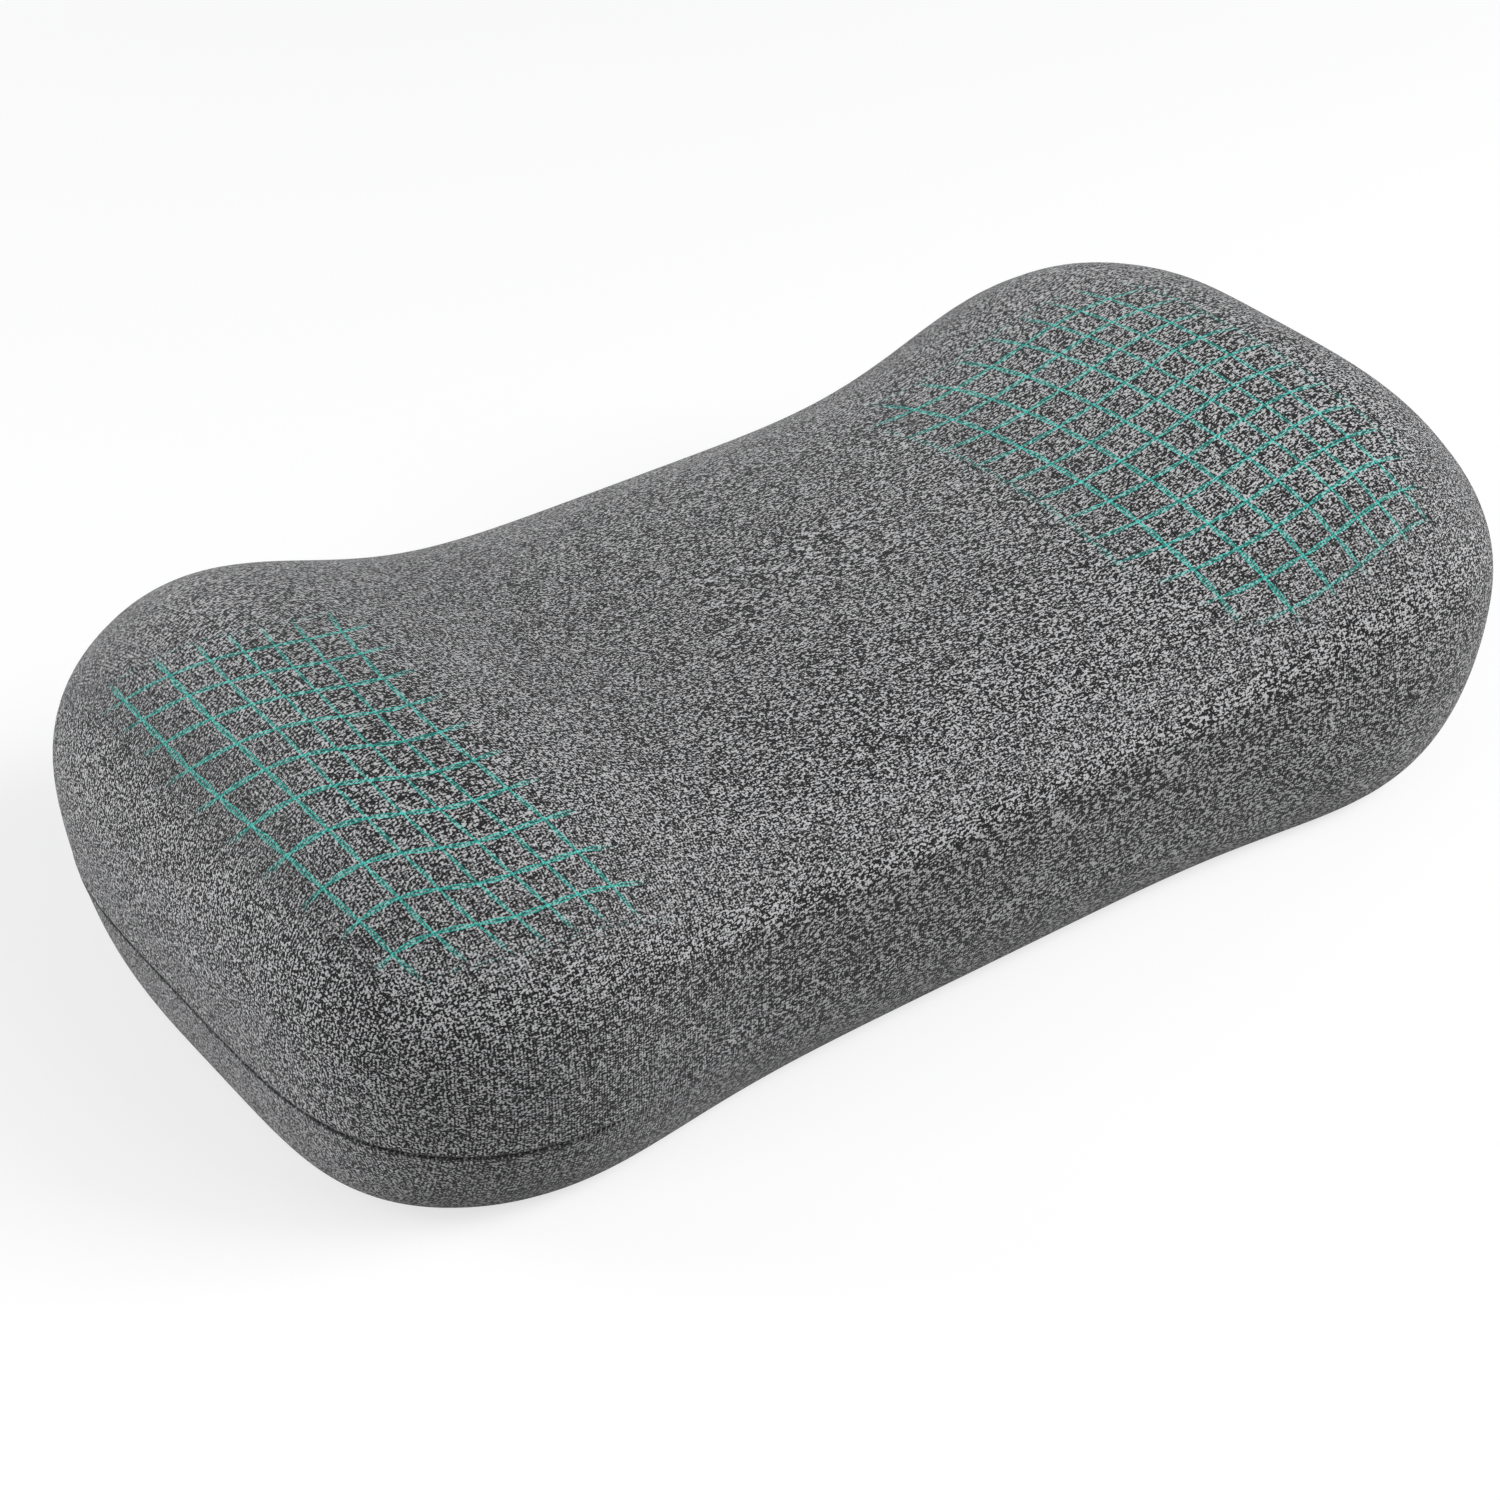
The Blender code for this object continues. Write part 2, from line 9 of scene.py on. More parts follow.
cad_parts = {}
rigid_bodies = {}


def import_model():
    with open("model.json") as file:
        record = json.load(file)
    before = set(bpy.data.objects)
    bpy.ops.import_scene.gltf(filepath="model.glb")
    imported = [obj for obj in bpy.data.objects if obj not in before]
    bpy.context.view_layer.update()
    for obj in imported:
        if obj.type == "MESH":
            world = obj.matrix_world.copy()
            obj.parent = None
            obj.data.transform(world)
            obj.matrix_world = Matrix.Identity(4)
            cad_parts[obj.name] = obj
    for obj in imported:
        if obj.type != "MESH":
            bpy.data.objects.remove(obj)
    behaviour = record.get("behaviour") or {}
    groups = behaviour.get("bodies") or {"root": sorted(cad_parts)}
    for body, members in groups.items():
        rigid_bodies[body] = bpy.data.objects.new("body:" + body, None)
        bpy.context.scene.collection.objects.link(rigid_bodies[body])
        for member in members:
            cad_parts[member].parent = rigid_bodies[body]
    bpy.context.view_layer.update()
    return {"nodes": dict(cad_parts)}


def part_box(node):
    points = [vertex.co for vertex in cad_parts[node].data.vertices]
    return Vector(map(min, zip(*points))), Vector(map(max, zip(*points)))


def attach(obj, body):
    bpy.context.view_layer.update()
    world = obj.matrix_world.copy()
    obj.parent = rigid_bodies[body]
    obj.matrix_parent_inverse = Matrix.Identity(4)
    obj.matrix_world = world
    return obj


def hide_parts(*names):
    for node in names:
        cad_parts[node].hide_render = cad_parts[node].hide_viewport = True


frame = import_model()
print("frame loaded")

nudge = 0.0001  # metres or radians, for reading a slope
upStep = 0.001  # metres up the wall, for reading its direction
mergeGap = 1e-6  # points nearer than this become one


# Materials: a wrapped socket does arithmetic, and one method lays every other node

class Wire:
    def __init__(self, paint, socket):
        self.paint = paint
        self.socket = socket

    def __add__(self, other):
        return self.paint.maths("ADD", self, other)

    def __sub__(self, other):
        return self.paint.maths("SUBTRACT", self, other)

    def __rsub__(self, other):
        return self.paint.maths("SUBTRACT", other, self)

    def __mul__(self, other):
        return self.paint.maths("MULTIPLY", self, other)

    def __truediv__(self, other):
        return self.paint.maths("DIVIDE", self, other)

    def __rtruediv__(self, other):
        return self.paint.maths("DIVIDE", other, self)

    __radd__ = __add__
    __rmul__ = __mul__


class Paint:
    def __init__(self, name):
        self.material = bpy.data.materials.new(name)
        self.material.use_nodes = True
        self.tree = self.material.node_tree
        self.tree.nodes.clear()

    def node(self, kind, settings, inputs, output=0):
        made = self.tree.nodes.new(kind)
        for name, value in settings.items():
            setattr(made, name, value)
        for key, value in inputs.items():
            if isinstance(value, Wire):
                self.tree.links.new(value.socket, made.inputs[key])
            else:
                made.inputs[key].default_value = value
        return Wire(self, made.outputs[output]) if len(made.outputs) else None

    def maths(self, operation, *values):
        return self.node("ShaderNodeMath", {"operation": operation}, dict(enumerate(values)))

    def smooth(self, value, low, high):  # 0 below low, 1 above high
        return self.node("ShaderNodeMapRange", {"interpolation_type": "SMOOTHSTEP"}, {
            "Value": value, "From Min": low, "From Max": high})

    def noise(self, vector, scale, detail=1.0, rough=0.5, distort=0.0):
        return self.node("ShaderNodeTexNoise", {}, {
            "Vector": vector, "Scale": scale, "Detail": detail, "Roughness": rough,
            "Distortion": distort})

    def attribute(self, name):  # the three numbers stored at each point under this name
        return self.parts(self.node("ShaderNodeAttribute", {"attribute_name": name}, {}, "Vector"))

    def place(self, stretch=(1.0, 1.0, 1.0)):  # the piece's own coordinates, drawn out by stretch
        where = self.node("ShaderNodeTexCoord", {}, {}, "Object")
        return self.node("ShaderNodeVectorMath", {"operation": "MULTIPLY"}, {0: where, 1: stretch})

    def parts(self, vector):
        return [self.node("ShaderNodeSeparateXYZ", {}, {0: vector}, axis) for axis in "XYZ"]

    def blend(self, share, first, second):  # two colours
        settings = {"data_type": "RGBA", "blend_type": "MIX"}
        first, second = [c if isinstance(c, Wire) else (*c, 1.0) for c in (first, second)]
        return self.node("ShaderNodeMix", settings, {0: share, 6: first, 7: second}, 2)

    def bump(self, height, strength, distance):
        return self.node("ShaderNodeBump", {}, {
            "Height": height, "Strength": strength, "Distance": distance})

    def finish(self, colour, roughness, **others):
        inputs = {"Base Color": colour, "Roughness": roughness}
        inputs.update({name.replace("_", " "): value for name, value in others.items()})
        shader = self.node("ShaderNodeBsdfPrincipled", {}, inputs)
        self.node("ShaderNodeOutputMaterial", {}, {"Surface": shader})
        return self.material


def meshObject(name, points, faces, material):
    mesh = bpy.data.meshes.new(name)
    mesh.from_pydata([tuple(p) for p in points], [], faces)
    mesh.validate()
    mesh.shade_smooth()
    made = bpy.data.objects.new(name, mesh)
    bpy.context.scene.collection.objects.link(made)
    if material is not None:
        mesh.materials.append(material)
    return made


def unit(vectors):
    return vectors / np.maximum(np.linalg.norm(vectors, axis=-1, keepdims=True), 1e-12)


def eased(share):  # 0 to 1, level at both ends
    share = np.clip(share, 0, 1)
    return share * share * (3 - 2 * share)


# Knit fabric of the cover, with the printed grid on both lobes

knitLook = {
    "waleWidth": 0.00060,  # from one column of stitches to the next
    "courseHeight": 0.00052,
    "veeRise": 0.55,  # how far a stitch's legs lean, in stitches
    "grainSize": 0.00036,  # of the marl, across the yarn
    "coarseGrain": 0.00047,  # where the knit is looser
    "grainDraw": 0.50,  # below 1 the grains are drawn out along the pillow
    "darkYarn": (0.010, 0.010, 0.011),
    "lightYarn": (0.56, 0.56, 0.568),
    "slitPaintedShadeDepth": 0.97,  # how much darker painted shade makes the fabric in the slit
    "dotPitch": 0.0011, "dotDepth": 0.38,  # of the zip's teeth, shown as dots in the painted shade beside the slit
    "turnsAt": 0.62,  # share facing an end or a wall at which the stitches turn with it
    "driftScale": 35.0, "drift": 0.004,  # of the stitches' columns and courses
    "cloudScale": 160.0,
    "marlLow": -0.14, "marlHigh": 0.13,  # where the yarn is fully dark, and fully light
    "lobeStart": 0.055, "lobeFull": 0.095,  # distances from the middle between which the lobes begin
    "shoulderPaintedLight": 0.42, "waistPaintedShade": 0.17, "printShade": 0.17,  # shares of the yarn's brightness: painted light on the shoulders, painted shade on the waist's walls, darker under the print
    "inkLeast": 0.70, "inkMore": 0.28,  # ink on dark yarn, and what light yarn adds
    "bumpStrength": 0.55, "bumpDepth": 0.00035,
    "roughness": 0.92, "sheen": 0.15, "sheenRoughness": 0.45, "specular": 0.2,
}


gridLook = {
    "pitch": 0.0088,  # from line to line
    "strokeHalf": 0.00012,
    "strokeApart": 0.00042,  # from a line's middle to each of its two strokes, between crossings
    "between": 0.40,  # ink between a line's strokes
    "crossing": 0.00075,  # radius of the ink at a crossing
    "dark": (0.022, 0.340, 0.290), "light": (0.090, 0.660, 0.570),
    "patchMiddle": (0.100, -0.015), "patchUnit": 0.050,  # of x and y in the lines' rules
    "wobbleScale": 260.0, "wobble": 0.010,
    "wearScale": 1100.0, "wear": 1.1,
    "faintest": 0.35,  # share of the ink left at a patch's edges
}


def band(paint, value, low, high, fade):  # 1 between low and high, fading out over fade at each side
    return paint.smooth(value, low - fade / 2, low + fade / 2) * (
        1.0 - paint.smooth(value, high - fade / 2, high + fade / 2))


def printedGrid(paint):
    # Where each point lies among the printed lines: those across are at whole columns, those along
    # at whole rows. Each patch has its own rule, because the lobes stretch the print unevenly
    look = gridLook
    u, v, _ = paint.attribute("printMap")
    wobble = (paint.noise(paint.place(), look["wobbleScale"], 2.0) - 0.5) * look["wobble"]
    middleX, middleY = look["patchMiddle"]
    x = (paint.maths("ABSOLUTE", u) - middleX) / look["patchUnit"] + wobble
    y = (v - middleY) / look["patchUnit"] + wobble
    cube = y * y * y
    turn = paint.maths("TANH", x / 0.18)
    column = 5.727 + x * 5.827 + y * 0.295 - x * x * y * 0.317 - x * y * y * 0.353 + cube * 0.256
    column = column - x * x * x * 0.428 + turn * 0.516
    turn = paint.maths("TANH", (x - 0.20) / 0.35)
    row = 4.412 - x * 1.332 - y * 5.908 + y * y * 0.283 + x * x * 0.577 + x * y * 0.357
    row = row - (x * 0.960 + y * 0.619) * turn
    corner = paint.maths("MAXIMUM", row - 8.0, 0.0)
    ink = paint.smooth(column - corner * 0.4, -0.7, 0.9) * (
        1.0 - paint.smooth(column + corner * 0.3, 7.0, 8.8)) * band(paint, row, -0.8, 11.1, 1.6)
    turn = paint.maths("TANH", (x - 0.55) / 0.25)
    leftColumn = 5.391 - x * 1.743 - y * y * 0.108 + x * y * 0.485 - x * x * 2.558 - x * y * y * 1.891
    leftColumn = leftColumn + (x * 2.120 + y * y * 1.216 - 2.543) * turn
    turn = paint.maths("TANH", (x - 0.40) / 0.25)
    leftRow = 2.613 - y * 5.369 + x * x * y * 1.957 - x * y * 1.040 - cube * 0.400
    leftRow = leftRow + x * 0.192 + x * turn * 1.936
    leftInk = band(paint, leftColumn, 0.7, 7.6, 1.5) * band(paint, leftRow, -0.8, 9.7, 1.6)
    right = paint.maths("GREATER_THAN", u, 0.0)
    column = leftColumn + (column - leftColumn) * right
    row = leftRow + (row - leftRow) * right
    ink = leftInk + (ink - leftInk) * right
    ink = ink * band(paint, x, -1.1, 1.24, 0.2) * band(paint, y, -1.35, 1.35, 0.2)
    worn = (paint.noise(paint.place(), look["wearScale"], 2.0) - 0.5) * look["wear"]
    broken = paint.smooth(ink + worn, 0.20, 0.60)  # the ink breaks up towards the patch's edges
    strength = look["faintest"] + (1.0 - look["faintest"]) * ink
    return gridLines(paint, column, row) * broken * strength, ink


def gridLines(paint, column, row):
    # Each line is two strokes that part between the crossings and meet in a spot of ink at them
    look = gridLook
    crossing, half = look["crossing"], look["strokeHalf"]
    offColumn, offRow = [
        paint.maths("ABSOLUTE", phase - paint.maths("ROUND", phase)) * look["pitch"]
        for phase in (column, row)]
    shown = 1.0 - paint.smooth(offColumn + offRow, crossing * 0.6, crossing * 1.3)
    for off, other in ((offColumn, row), (offRow, column)):
        parting = paint.maths("ABSOLUTE", paint.maths("SINE", other * np.pi)) * look["strokeApart"]
        beyond = off - parting
        stroke = 1.0 - paint.smooth(paint.maths("ABSOLUTE", beyond), half * 0.6, half * 1.8)
        fill = (1.0 - paint.smooth(beyond, 0.0, half)) * look["between"]
        shown = paint.maths("MAXIMUM", shown, paint.maths("MAXIMUM", stroke, fill))
    return shown


def knitMaterial():
    look = knitLook
    paint = Paint("greyKnit")
    x, y, z = paint.parts(paint.place())
    endShare, wallShare, topShare = paint.attribute("facing")
    ragged = paint.noise(paint.place(), 90.0, 1.0) * 0.25
    onEnd = paint.maths("GREATER_THAN", endShare + ragged, look["turnsAt"])
    onWall = paint.maths("GREATER_THAN", wallShare + ragged, look["turnsAt"])
    drift = (paint.noise(paint.place(), look["driftScale"], 1.0) - 0.5) * look["drift"]
    wale = (x + (y - x) * onEnd + drift) / look["waleWidth"]
    course = (y + (z - y) * paint.maths("MAXIMUM", onEnd, onWall) + drift) / look["courseHeight"]
    acrossWale = paint.maths("ABSOLUTE", wale - paint.maths("ROUND", wale))  # 0 mid-column, 0.5 between
    alongLeg = course + acrossWale * (2 * look["veeRise"])
    legs = paint.maths("COSINE", alongLeg * (2 * np.pi)) * 0.5 + 0.5
    column = paint.maths("COSINE", acrossWale * (2 * np.pi)) * 0.5 + 0.5
    stitch = column * 0.6 + legs * 0.4

    # Marl: fine grains of dark and light yarn, with coarser ones where the knit is looser
    drawn = paint.place((look["grainDraw"], 1.0, 0.9))
    flecked = paint.place((0.6, 1.0, 1.0))
    grain = paint.noise(drawn, 1 / look["grainSize"], 1.5, 0.6, 0.4)
    coarse = paint.noise(drawn, 1 / look["coarseGrain"], 0.0)
    fleck = paint.noise(flecked, 1.3 / look["grainSize"], 0.0)
    cloud = paint.noise(flecked, look["cloudScale"], 1.0)
    lobes = paint.smooth(paint.maths("ABSOLUTE", x), look["lobeStart"], look["lobeFull"])
    towardsRight = paint.smooth(x, -0.10, 0.10)
    loose = towardsRight * 0.40 + (1.0 - wallShare) * (lobes * 0.40 + 0.22) + endShare * 0.10 + 0.22
    loose = loose + (1.0 - lobes) * wallShare * 0.45
    shoulder = band(paint, topShare, 0.48, 0.90, 0.24)
    marl = grain - 0.55 + (fleck - 0.5) * 0.65 + (cloud - 0.5) * 0.05
    marl = marl + (column - 0.5) * (lobes * 0.06 + 0.05)
    marl = marl * (1.0 - 0.40 * shoulder - 0.17 * wallShare * lobes)
    marl = marl + (coarse - 0.5) * loose * (1.0 - 0.8 * shoulder)
    tone = paint.smooth(marl, look["marlLow"], look["marlHigh"])

    # Painted shade in and beside the slit, deeper in a row of dots where the zip's teeth press through
    paintedSlitShade, along, _ = paint.attribute("paintedSlitShade")
    dots = paint.maths("SINE", along * (2 * np.pi / look["dotPitch"])) * 0.5 + 0.5
    paintedSlitShade = paintedSlitShade * (1.0 - look["dotDepth"] + look["dotDepth"] * dots)
    unlit = paintedSlitShade * look["slitPaintedShadeDepth"]

    # Painted light and shade: the knit is paler on the shoulders and darker on the waist's walls, as the
    # studio light falls on them; it is also darker under the print
    paintedShoulderLight = band(paint, topShare, 0.30, 0.95, 0.16) * (1.0 - paint.smooth(endShare, 0.30, 0.60))
    # waist: mask of the painted shade on the waist's walls
    waist = (1.0 - lobes) * wallShare * (1.0 - paintedShoulderLight)
    paintedLightAndShade = 1.0 + look["shoulderPaintedLight"] * paintedShoulderLight - waist * look["waistPaintedShade"]
    lines, patch = printedGrid(paint)
    lines = lines * paint.smooth(topShare, 0.05, 0.25)
    # the yarn's share of light carries the painted light and shade, and the painted shade of the slit
    lit = tone * tone * paintedLightAndShade * (1.0 - patch * look["printShade"]) * (1.0 - unlit)
    yarn = paint.blend(lit, look["darkYarn"], look["lightYarn"])
    ink = paint.blend(tone, gridLook["dark"], gridLook["light"])
    inked = paint.blend(lines * (look["inkLeast"] + tone * look["inkMore"]), yarn, ink)
    height = stitch * 0.6 + grain * 0.8 + fleck * 0.3
    normal = paint.bump(height, look["bumpStrength"], look["bumpDepth"])
    return paint.finish(
        inked, look["roughness"], Normal=normal, Sheen_Weight=look["sheen"],
        Sheen_Roughness=look["sheenRoughness"], Specular_IOR_Level=look["specular"])


# Cover: the pillow's outer face by rule, with rolled lips round the zip's slit

coverShape = {
    "length": 0.300, "flareWidth": 0.1762, "waistWidth": 0.1446,
    "waistReach": 0.098, "waistPower": 4.489, "planPowerX": 3.682, "planPowerY": 4.302,
    "middleHeight": 0.0663, "lobeHeight": 0.0892, "lobeReach": 0.1222, "lobePower": 2.515,
    "ridgeInset": 0.0485,
    "widestSide": 0.0400, "widestEnd": 0.0428, "baseRatio": 0.7895,
    "topPowerSide": 2.542, "topPowerEnd": 2.064, "footPowerSide": 2.268, "footPowerEnd": 1.639,
    "seamBelow": 0.0177, "seamDrop": 0.0021, "seamRun": 0.100,
    "thickness": 0.0015,
    "zipHalf": 0.111,  # along the seam, to each side of the -X face's middle
    "slitHalf": 0.00018,
    "lipRadius": 0.00030,
    "lipSwell": 0.00018,  # how far the folded hem stands proud beside the slit
    "hemPlace": 0.0009, "hemWidth": 0.0011,
    "slitShadeWidth": 0.00020,  # over which the painted shade of the slit fades
    "taper": 0.010,  # over which the slit closes at its ends
    "neckPlace": 0.1059, "neckHalf": 0.00105, "neckReach": 0.0042,  # where the slider's neck parts it
    "halfColumns": 230, "planSamples": 4001, "profileSamples": 260,
    "crowdAtNeck": 4.0, "crowdReach": 0.008, "crowdAtTurns": 0.05,  # how much closer columns stand
    "lowerRows": 15, "upperRows": 46, "innerLowerRows": 4, "innerUpperRows": 12,
    "lipRows": (0.0, 0.00035, 0.0008, 0.0014, 0.0022, 0.0033, 0.0048),  # beyond a lip, to each side
    "lipTurns": (25, 50, 75, 90),  # degrees round a lip
    "baseShares": (0.96, 0.7, 0.35, 0.0),  # widths of the base's rows
}


def signedPower(values, power):
    return np.sign(values) * np.abs(values) ** power


def betweenSideAndEnd(angle, name):
    side, end = coverShape[name + "Side"], coverShape[name + "End"]
    return side + (end - side) * np.cos(angle) ** 2


def topHeight(x):
    shape = coverShape
    rise = np.clip(np.abs(x) / shape["lobeReach"], 0, 1)
    lobe = ((1 - np.cos(np.pi * rise)) / 2) ** shape["lobePower"]
    return shape["middleHeight"] + (shape["lobeHeight"] - shape["middleHeight"]) * lobe


def surfacePoint(angle, turn):
    # angle goes round the plan. turn is -pi/2 at the base's edge, 0 at the widest line and pi/2 on
    # the ridge
    shape = coverShape
    topPower = betweenSideAndEnd(angle, "topPower")
    footPower = betweenSideAndEnd(angle, "footPower")
    widest = betweenSideAndEnd(angle, "widest")
    across = np.clip(np.cos(turn), 0, 1)
    up = np.abs(np.sin(turn))
    above = turn > 0
    footSize = shape["baseRatio"] + (1 - shape["baseRatio"]) * across ** (2 / footPower)
    size = np.where(above, across ** (2 / topPower), footSize)
    planX = signedPower(np.cos(angle), 2 / shape["planPowerX"])
    planY = signedPower(np.sin(angle), 2 / shape["planPowerY"])
    waist = np.exp(-np.abs(shape["length"] / 2 * planX / shape["waistReach"]) ** shape["waistPower"])
    halfWidth = (shape["flareWidth"] - (shape["flareWidth"] - shape["waistWidth"]) * waist) / 2
    x = (shape["length"] / 2 - shape["ridgeInset"] * (1 - size)) * planX
    y = halfWidth * size * planY
    upper = widest + (topHeight(x) - widest) * up ** (2 / topPower)
    lower = widest * (1 - up ** (2 / footPower))
    z = np.where(above, upper, lower)
    return np.stack(np.broadcast_arrays(x, y, z), axis=-1)


def seamTurn(angle):
    shape = coverShape
    footPower = betweenSideAndEnd(angle, "footPower")
    widest = betweenSideAndEnd(angle, "widest")
    along = shape["length"] / 2 * (1 + signedPower(np.cos(angle), 2 / shape["planPowerX"]))
    height = widest - shape["seamBelow"] - shape["seamDrop"] * np.clip(along / shape["seamRun"], 0, 1)
    return -np.arcsin((1 - height / widest) ** (footPower / 2))


class Wall:
    # Columns of the pillow's face, each read by its distance above the seam
    def __init__(self):
        shape = coverShape
        angle = np.linspace(0, np.pi, shape["planSamples"])
        seam = surfacePoint(angle, seamTurn(angle))
        step = np.diff(seam, axis=0)
        length = np.linalg.norm(step, axis=1)
        turning = np.abs(np.diff(np.unwrap(np.arctan2(step[:, 1], step[:, 0])), prepend=0.0))
        turning[0] = 0.0
        along = np.append(0, np.cumsum(length))
        along = along[-1] - along
        fromNeck = (along[1:] - shape["neckPlace"]) / shape["crowdReach"]
        crowding = 1 + shape["crowdAtNeck"] * np.exp(-fromNeck ** 2)
        weight = np.append(0, np.cumsum(length * crowding + shape["crowdAtTurns"] * turning))
        found = np.linspace(0, weight[-1], shape["halfColumns"] + 1)
        back, backAlong = np.interp(found, weight, angle), np.interp(found, weight, along)
        self.angles = np.concatenate([-back[-2:0:-1], back])
        self.along = np.concatenate([-backAlong[-2:0:-1], backAlong])
        self.count = len(self.angles)
        self.buildProfiles()
        self.order = np.argsort(self.along)

    def buildProfiles(self):
        samples = coverShape["profileSamples"]
        share = (1 - np.cos(np.linspace(0, np.pi, samples))) / 2
        angle = self.angles[:, None]
        seam = seamTurn(angle)
        low = -np.pi / 2 + (seam + np.pi / 2) * share
        high = seam + (np.pi / 2 - seam) * share[1:]
        turns = np.concatenate([low, high], axis=1)
        self.points = surfacePoint(angle, turns)
        sideways = surfacePoint(angle + nudge, turns) - surfacePoint(angle - nudge, turns)
        normals = np.cross(sideways, np.gradient(self.points, axis=1))
        ridge = self.points[:, -1, 0]
        slope = (topHeight(ridge + nudge) - topHeight(ridge - nudge)) / (2 * nudge)
        normals[:, -1] = np.stack([-slope, 0 * slope, 1 + 0 * slope], axis=1)
        normals[:, 0] = (0, 0, -1)
        self.normals = unit(normals)
        steps = np.linalg.norm(np.diff(self.points, axis=1), axis=2)
        arcs = np.concatenate([np.zeros((self.count, 1)), np.cumsum(steps, axis=1)], axis=1)
        self.arcs = arcs - arcs[:, samples - 1:samples]

    def atColumn(self, j, above):
        point, normal = [
            np.stack([np.interp(above, self.arcs[j], table[j][:, k]) for k in range(3)], axis=-1)
            for table in (self.points, self.normals)]
        return point, unit(normal)

    def at(self, along, above, depth):  # also gives the outward normal there
        k = int(np.clip(np.searchsorted(self.along[self.order], along), 1, self.count - 1))
        first, second = self.order[k - 1], self.order[k]
        share = (along - self.along[first]) / (self.along[second] - self.along[first])
        (p, m), (q, n) = self.atColumn(first, above), self.atColumn(second, above)
        return (p - m * depth) * (1 - share) + (q - n * depth) * share, unit(m * (1 - share) + n * share)


def openingHalf(along):  # half of the slit's width, none past its ends
    shape = coverShape
    near = np.clip((shape["zipHalf"] - np.abs(along)) / shape["taper"], 0, 1)
    neck = np.exp(-((along - shape["neckPlace"]) / shape["neckReach"]) ** 4)
    tapered = eased(near)
    widened = (shape["neckHalf"] - shape["slitHalf"]) * neck * (near > 0)
    return shape["slitHalf"] * tapered + widened, tapered


def hemSwell(above, edge, tapered):  # how far the folded hem stands proud at a distance above the seam
    shape = coverShape
    fromHem = (np.abs(above) - edge - shape["hemPlace"]) / shape["hemWidth"]
    return shape["lipSwell"] * tapered * np.exp(-fromHem ** 2)


def coverMesh(wall, material):
    shape = coverShape
    points, faces, paintedSlitShades = [], [], []

    # each point keeps its painted slit shade and its place along the seam
    def addPoints(row, paintedSlitShade=0.0):
        points.extend(row)
        paintedSlitShades.extend(np.stack([np.broadcast_to(paintedSlitShade, len(row)), wall.along, wall.along * 0], axis=1))
        return np.arange(len(points) - len(row), len(points))

    def addBand(low, high, flipped, kept=None):  # quads between two rows of points
        for j in range(wall.count):
            after = (j + 1) % wall.count
            if kept is None or kept[j]:
                quad = [low[j], low[after], high[after], high[j]]
                faces.append([int(k) for k in (quad[::-1] if flipped else quad)])

    half, tapered = openingHalf(wall.along)
    slit = (half > 0) | (np.roll(half, -1) > 0)
    radius = shape["lipRadius"] * np.sqrt(tapered)
    edge = half + radius
    away = np.array(shape["lipRows"])

    def rowsAt(lowerCount, upperCount):
        rows = []
        for j in range(wall.count):
            near = edge[j] + away
            lower = np.linspace(wall.arcs[j][0], -near[-1], lowerCount + 1)[:-1]
            share = np.linspace(0, 1, upperCount + 1)[1:]
            upper = near[-1] + (wall.arcs[j][-1] - near[-1]) * share
            rows.append(np.concatenate([lower, -near[::-1], near, upper]))
        return np.array(rows)

    def grid(rows, depth, hemmed):
        columns = []
        for j in range(wall.count):
            point, normal = wall.atColumn(j, rows[j])
            proud = hemSwell(rows[j], edge[j], tapered[j]) if hemmed else 0 * rows[j]
            columns.append(point - normal * (depth - proud)[:, None])
        return np.array(columns).transpose(1, 0, 2)

    def addSkin(shell, inward, slitBand, rows=None):
        ids = []
        for i, row in enumerate(shell):
            # painted shade on the outer face, fading away from the slit's edges
            near = 0.0
            if not inward:
                near = tapered * np.exp(-(np.abs(rows[:, i]) - edge) / shape["slitShadeWidth"])
            ids.append(addPoints(row, near))
        for i in range(len(ids) - 1):
            addBand(ids[i], ids[i + 1], inward, ~slit if i == slitBand else None)
        base = [ids[0]]
        for share in shape["baseShares"]:
            base.append(addPoints(shell[0] * np.array([1.0, share, 1.0])))
        for low, high in zip(base[1:], base[:-1]):
            addBand(low, high, inward)
        return ids

    outerRows = rowsAt(shape["lowerRows"], shape["upperRows"])
    outerBand = shape["lowerRows"] + len(away) - 1
    outer = addSkin(grid(outerRows, 0.0, True), False, outerBand, outerRows)
    innerRows = rowsAt(shape["innerLowerRows"], shape["innerUpperRows"])
    innerBand = shape["innerLowerRows"] + len(away) - 1
    inner = addSkin(grid(innerRows, shape["thickness"], False), True, innerBand)

    # Lips roll in from the outer face to the slit, and out again on the inner face
    for side in (-1, 1):
        top = outer[outerBand + (1 if side > 0 else 0)]
        bottom = inner[innerBand + (1 if side > 0 else 0)]
        rings = [top]
        for t in np.radians(shape["lipTurns"]):
            ring = []
            for j in range(wall.count):
                above = side * (edge[j] - radius[j] * np.sin(t))
                point, normal = wall.atColumn(j, above)
                proud = hemSwell(above, edge[j], tapered[j])
                ring.append(point - normal * (radius[j] * (1 - np.cos(t)) - proud))
            # the lips turning into the slit get full painted shade
            rings.append(addPoints(ring, 1.0 * (half > 0)))
        rings.append(bottom)
        for upper, lower in zip(rings[:-1], rings[1:]):
            addBand(upper, lower, side > 0, slit)

    made = meshObject("pillowCover", points, faces, material)
    addVectors(made.data, "paintedSlitShade", paintedSlitShades)
    shaped = bmesh.new()
    shaped.from_mesh(made.data)
    bmesh.ops.remove_doubles(shaped, verts=shaped.verts, dist=mergeGap)
    bmesh.ops.dissolve_degenerate(shaped, dist=1e-7, edges=shaped.edges)
    shaped.to_mesh(made.data)
    shaped.free()
    return made


def addVectors(mesh, name, values):
    mesh.attributes.new(name, "FLOAT_VECTOR", "POINT").data.foreach_set("vector", np.ravel(values))


# Heights of the cover on a grid, over which the print's distances are measured
printMapGrid = {
    "halfX": 0.156, "halfY": 0.082, "countX": 209, "countY": 111,
    "emptyHeight": 0.03,  # taken where there is no fabric
    "startHeight": 0.2,  # rays go down from here
}


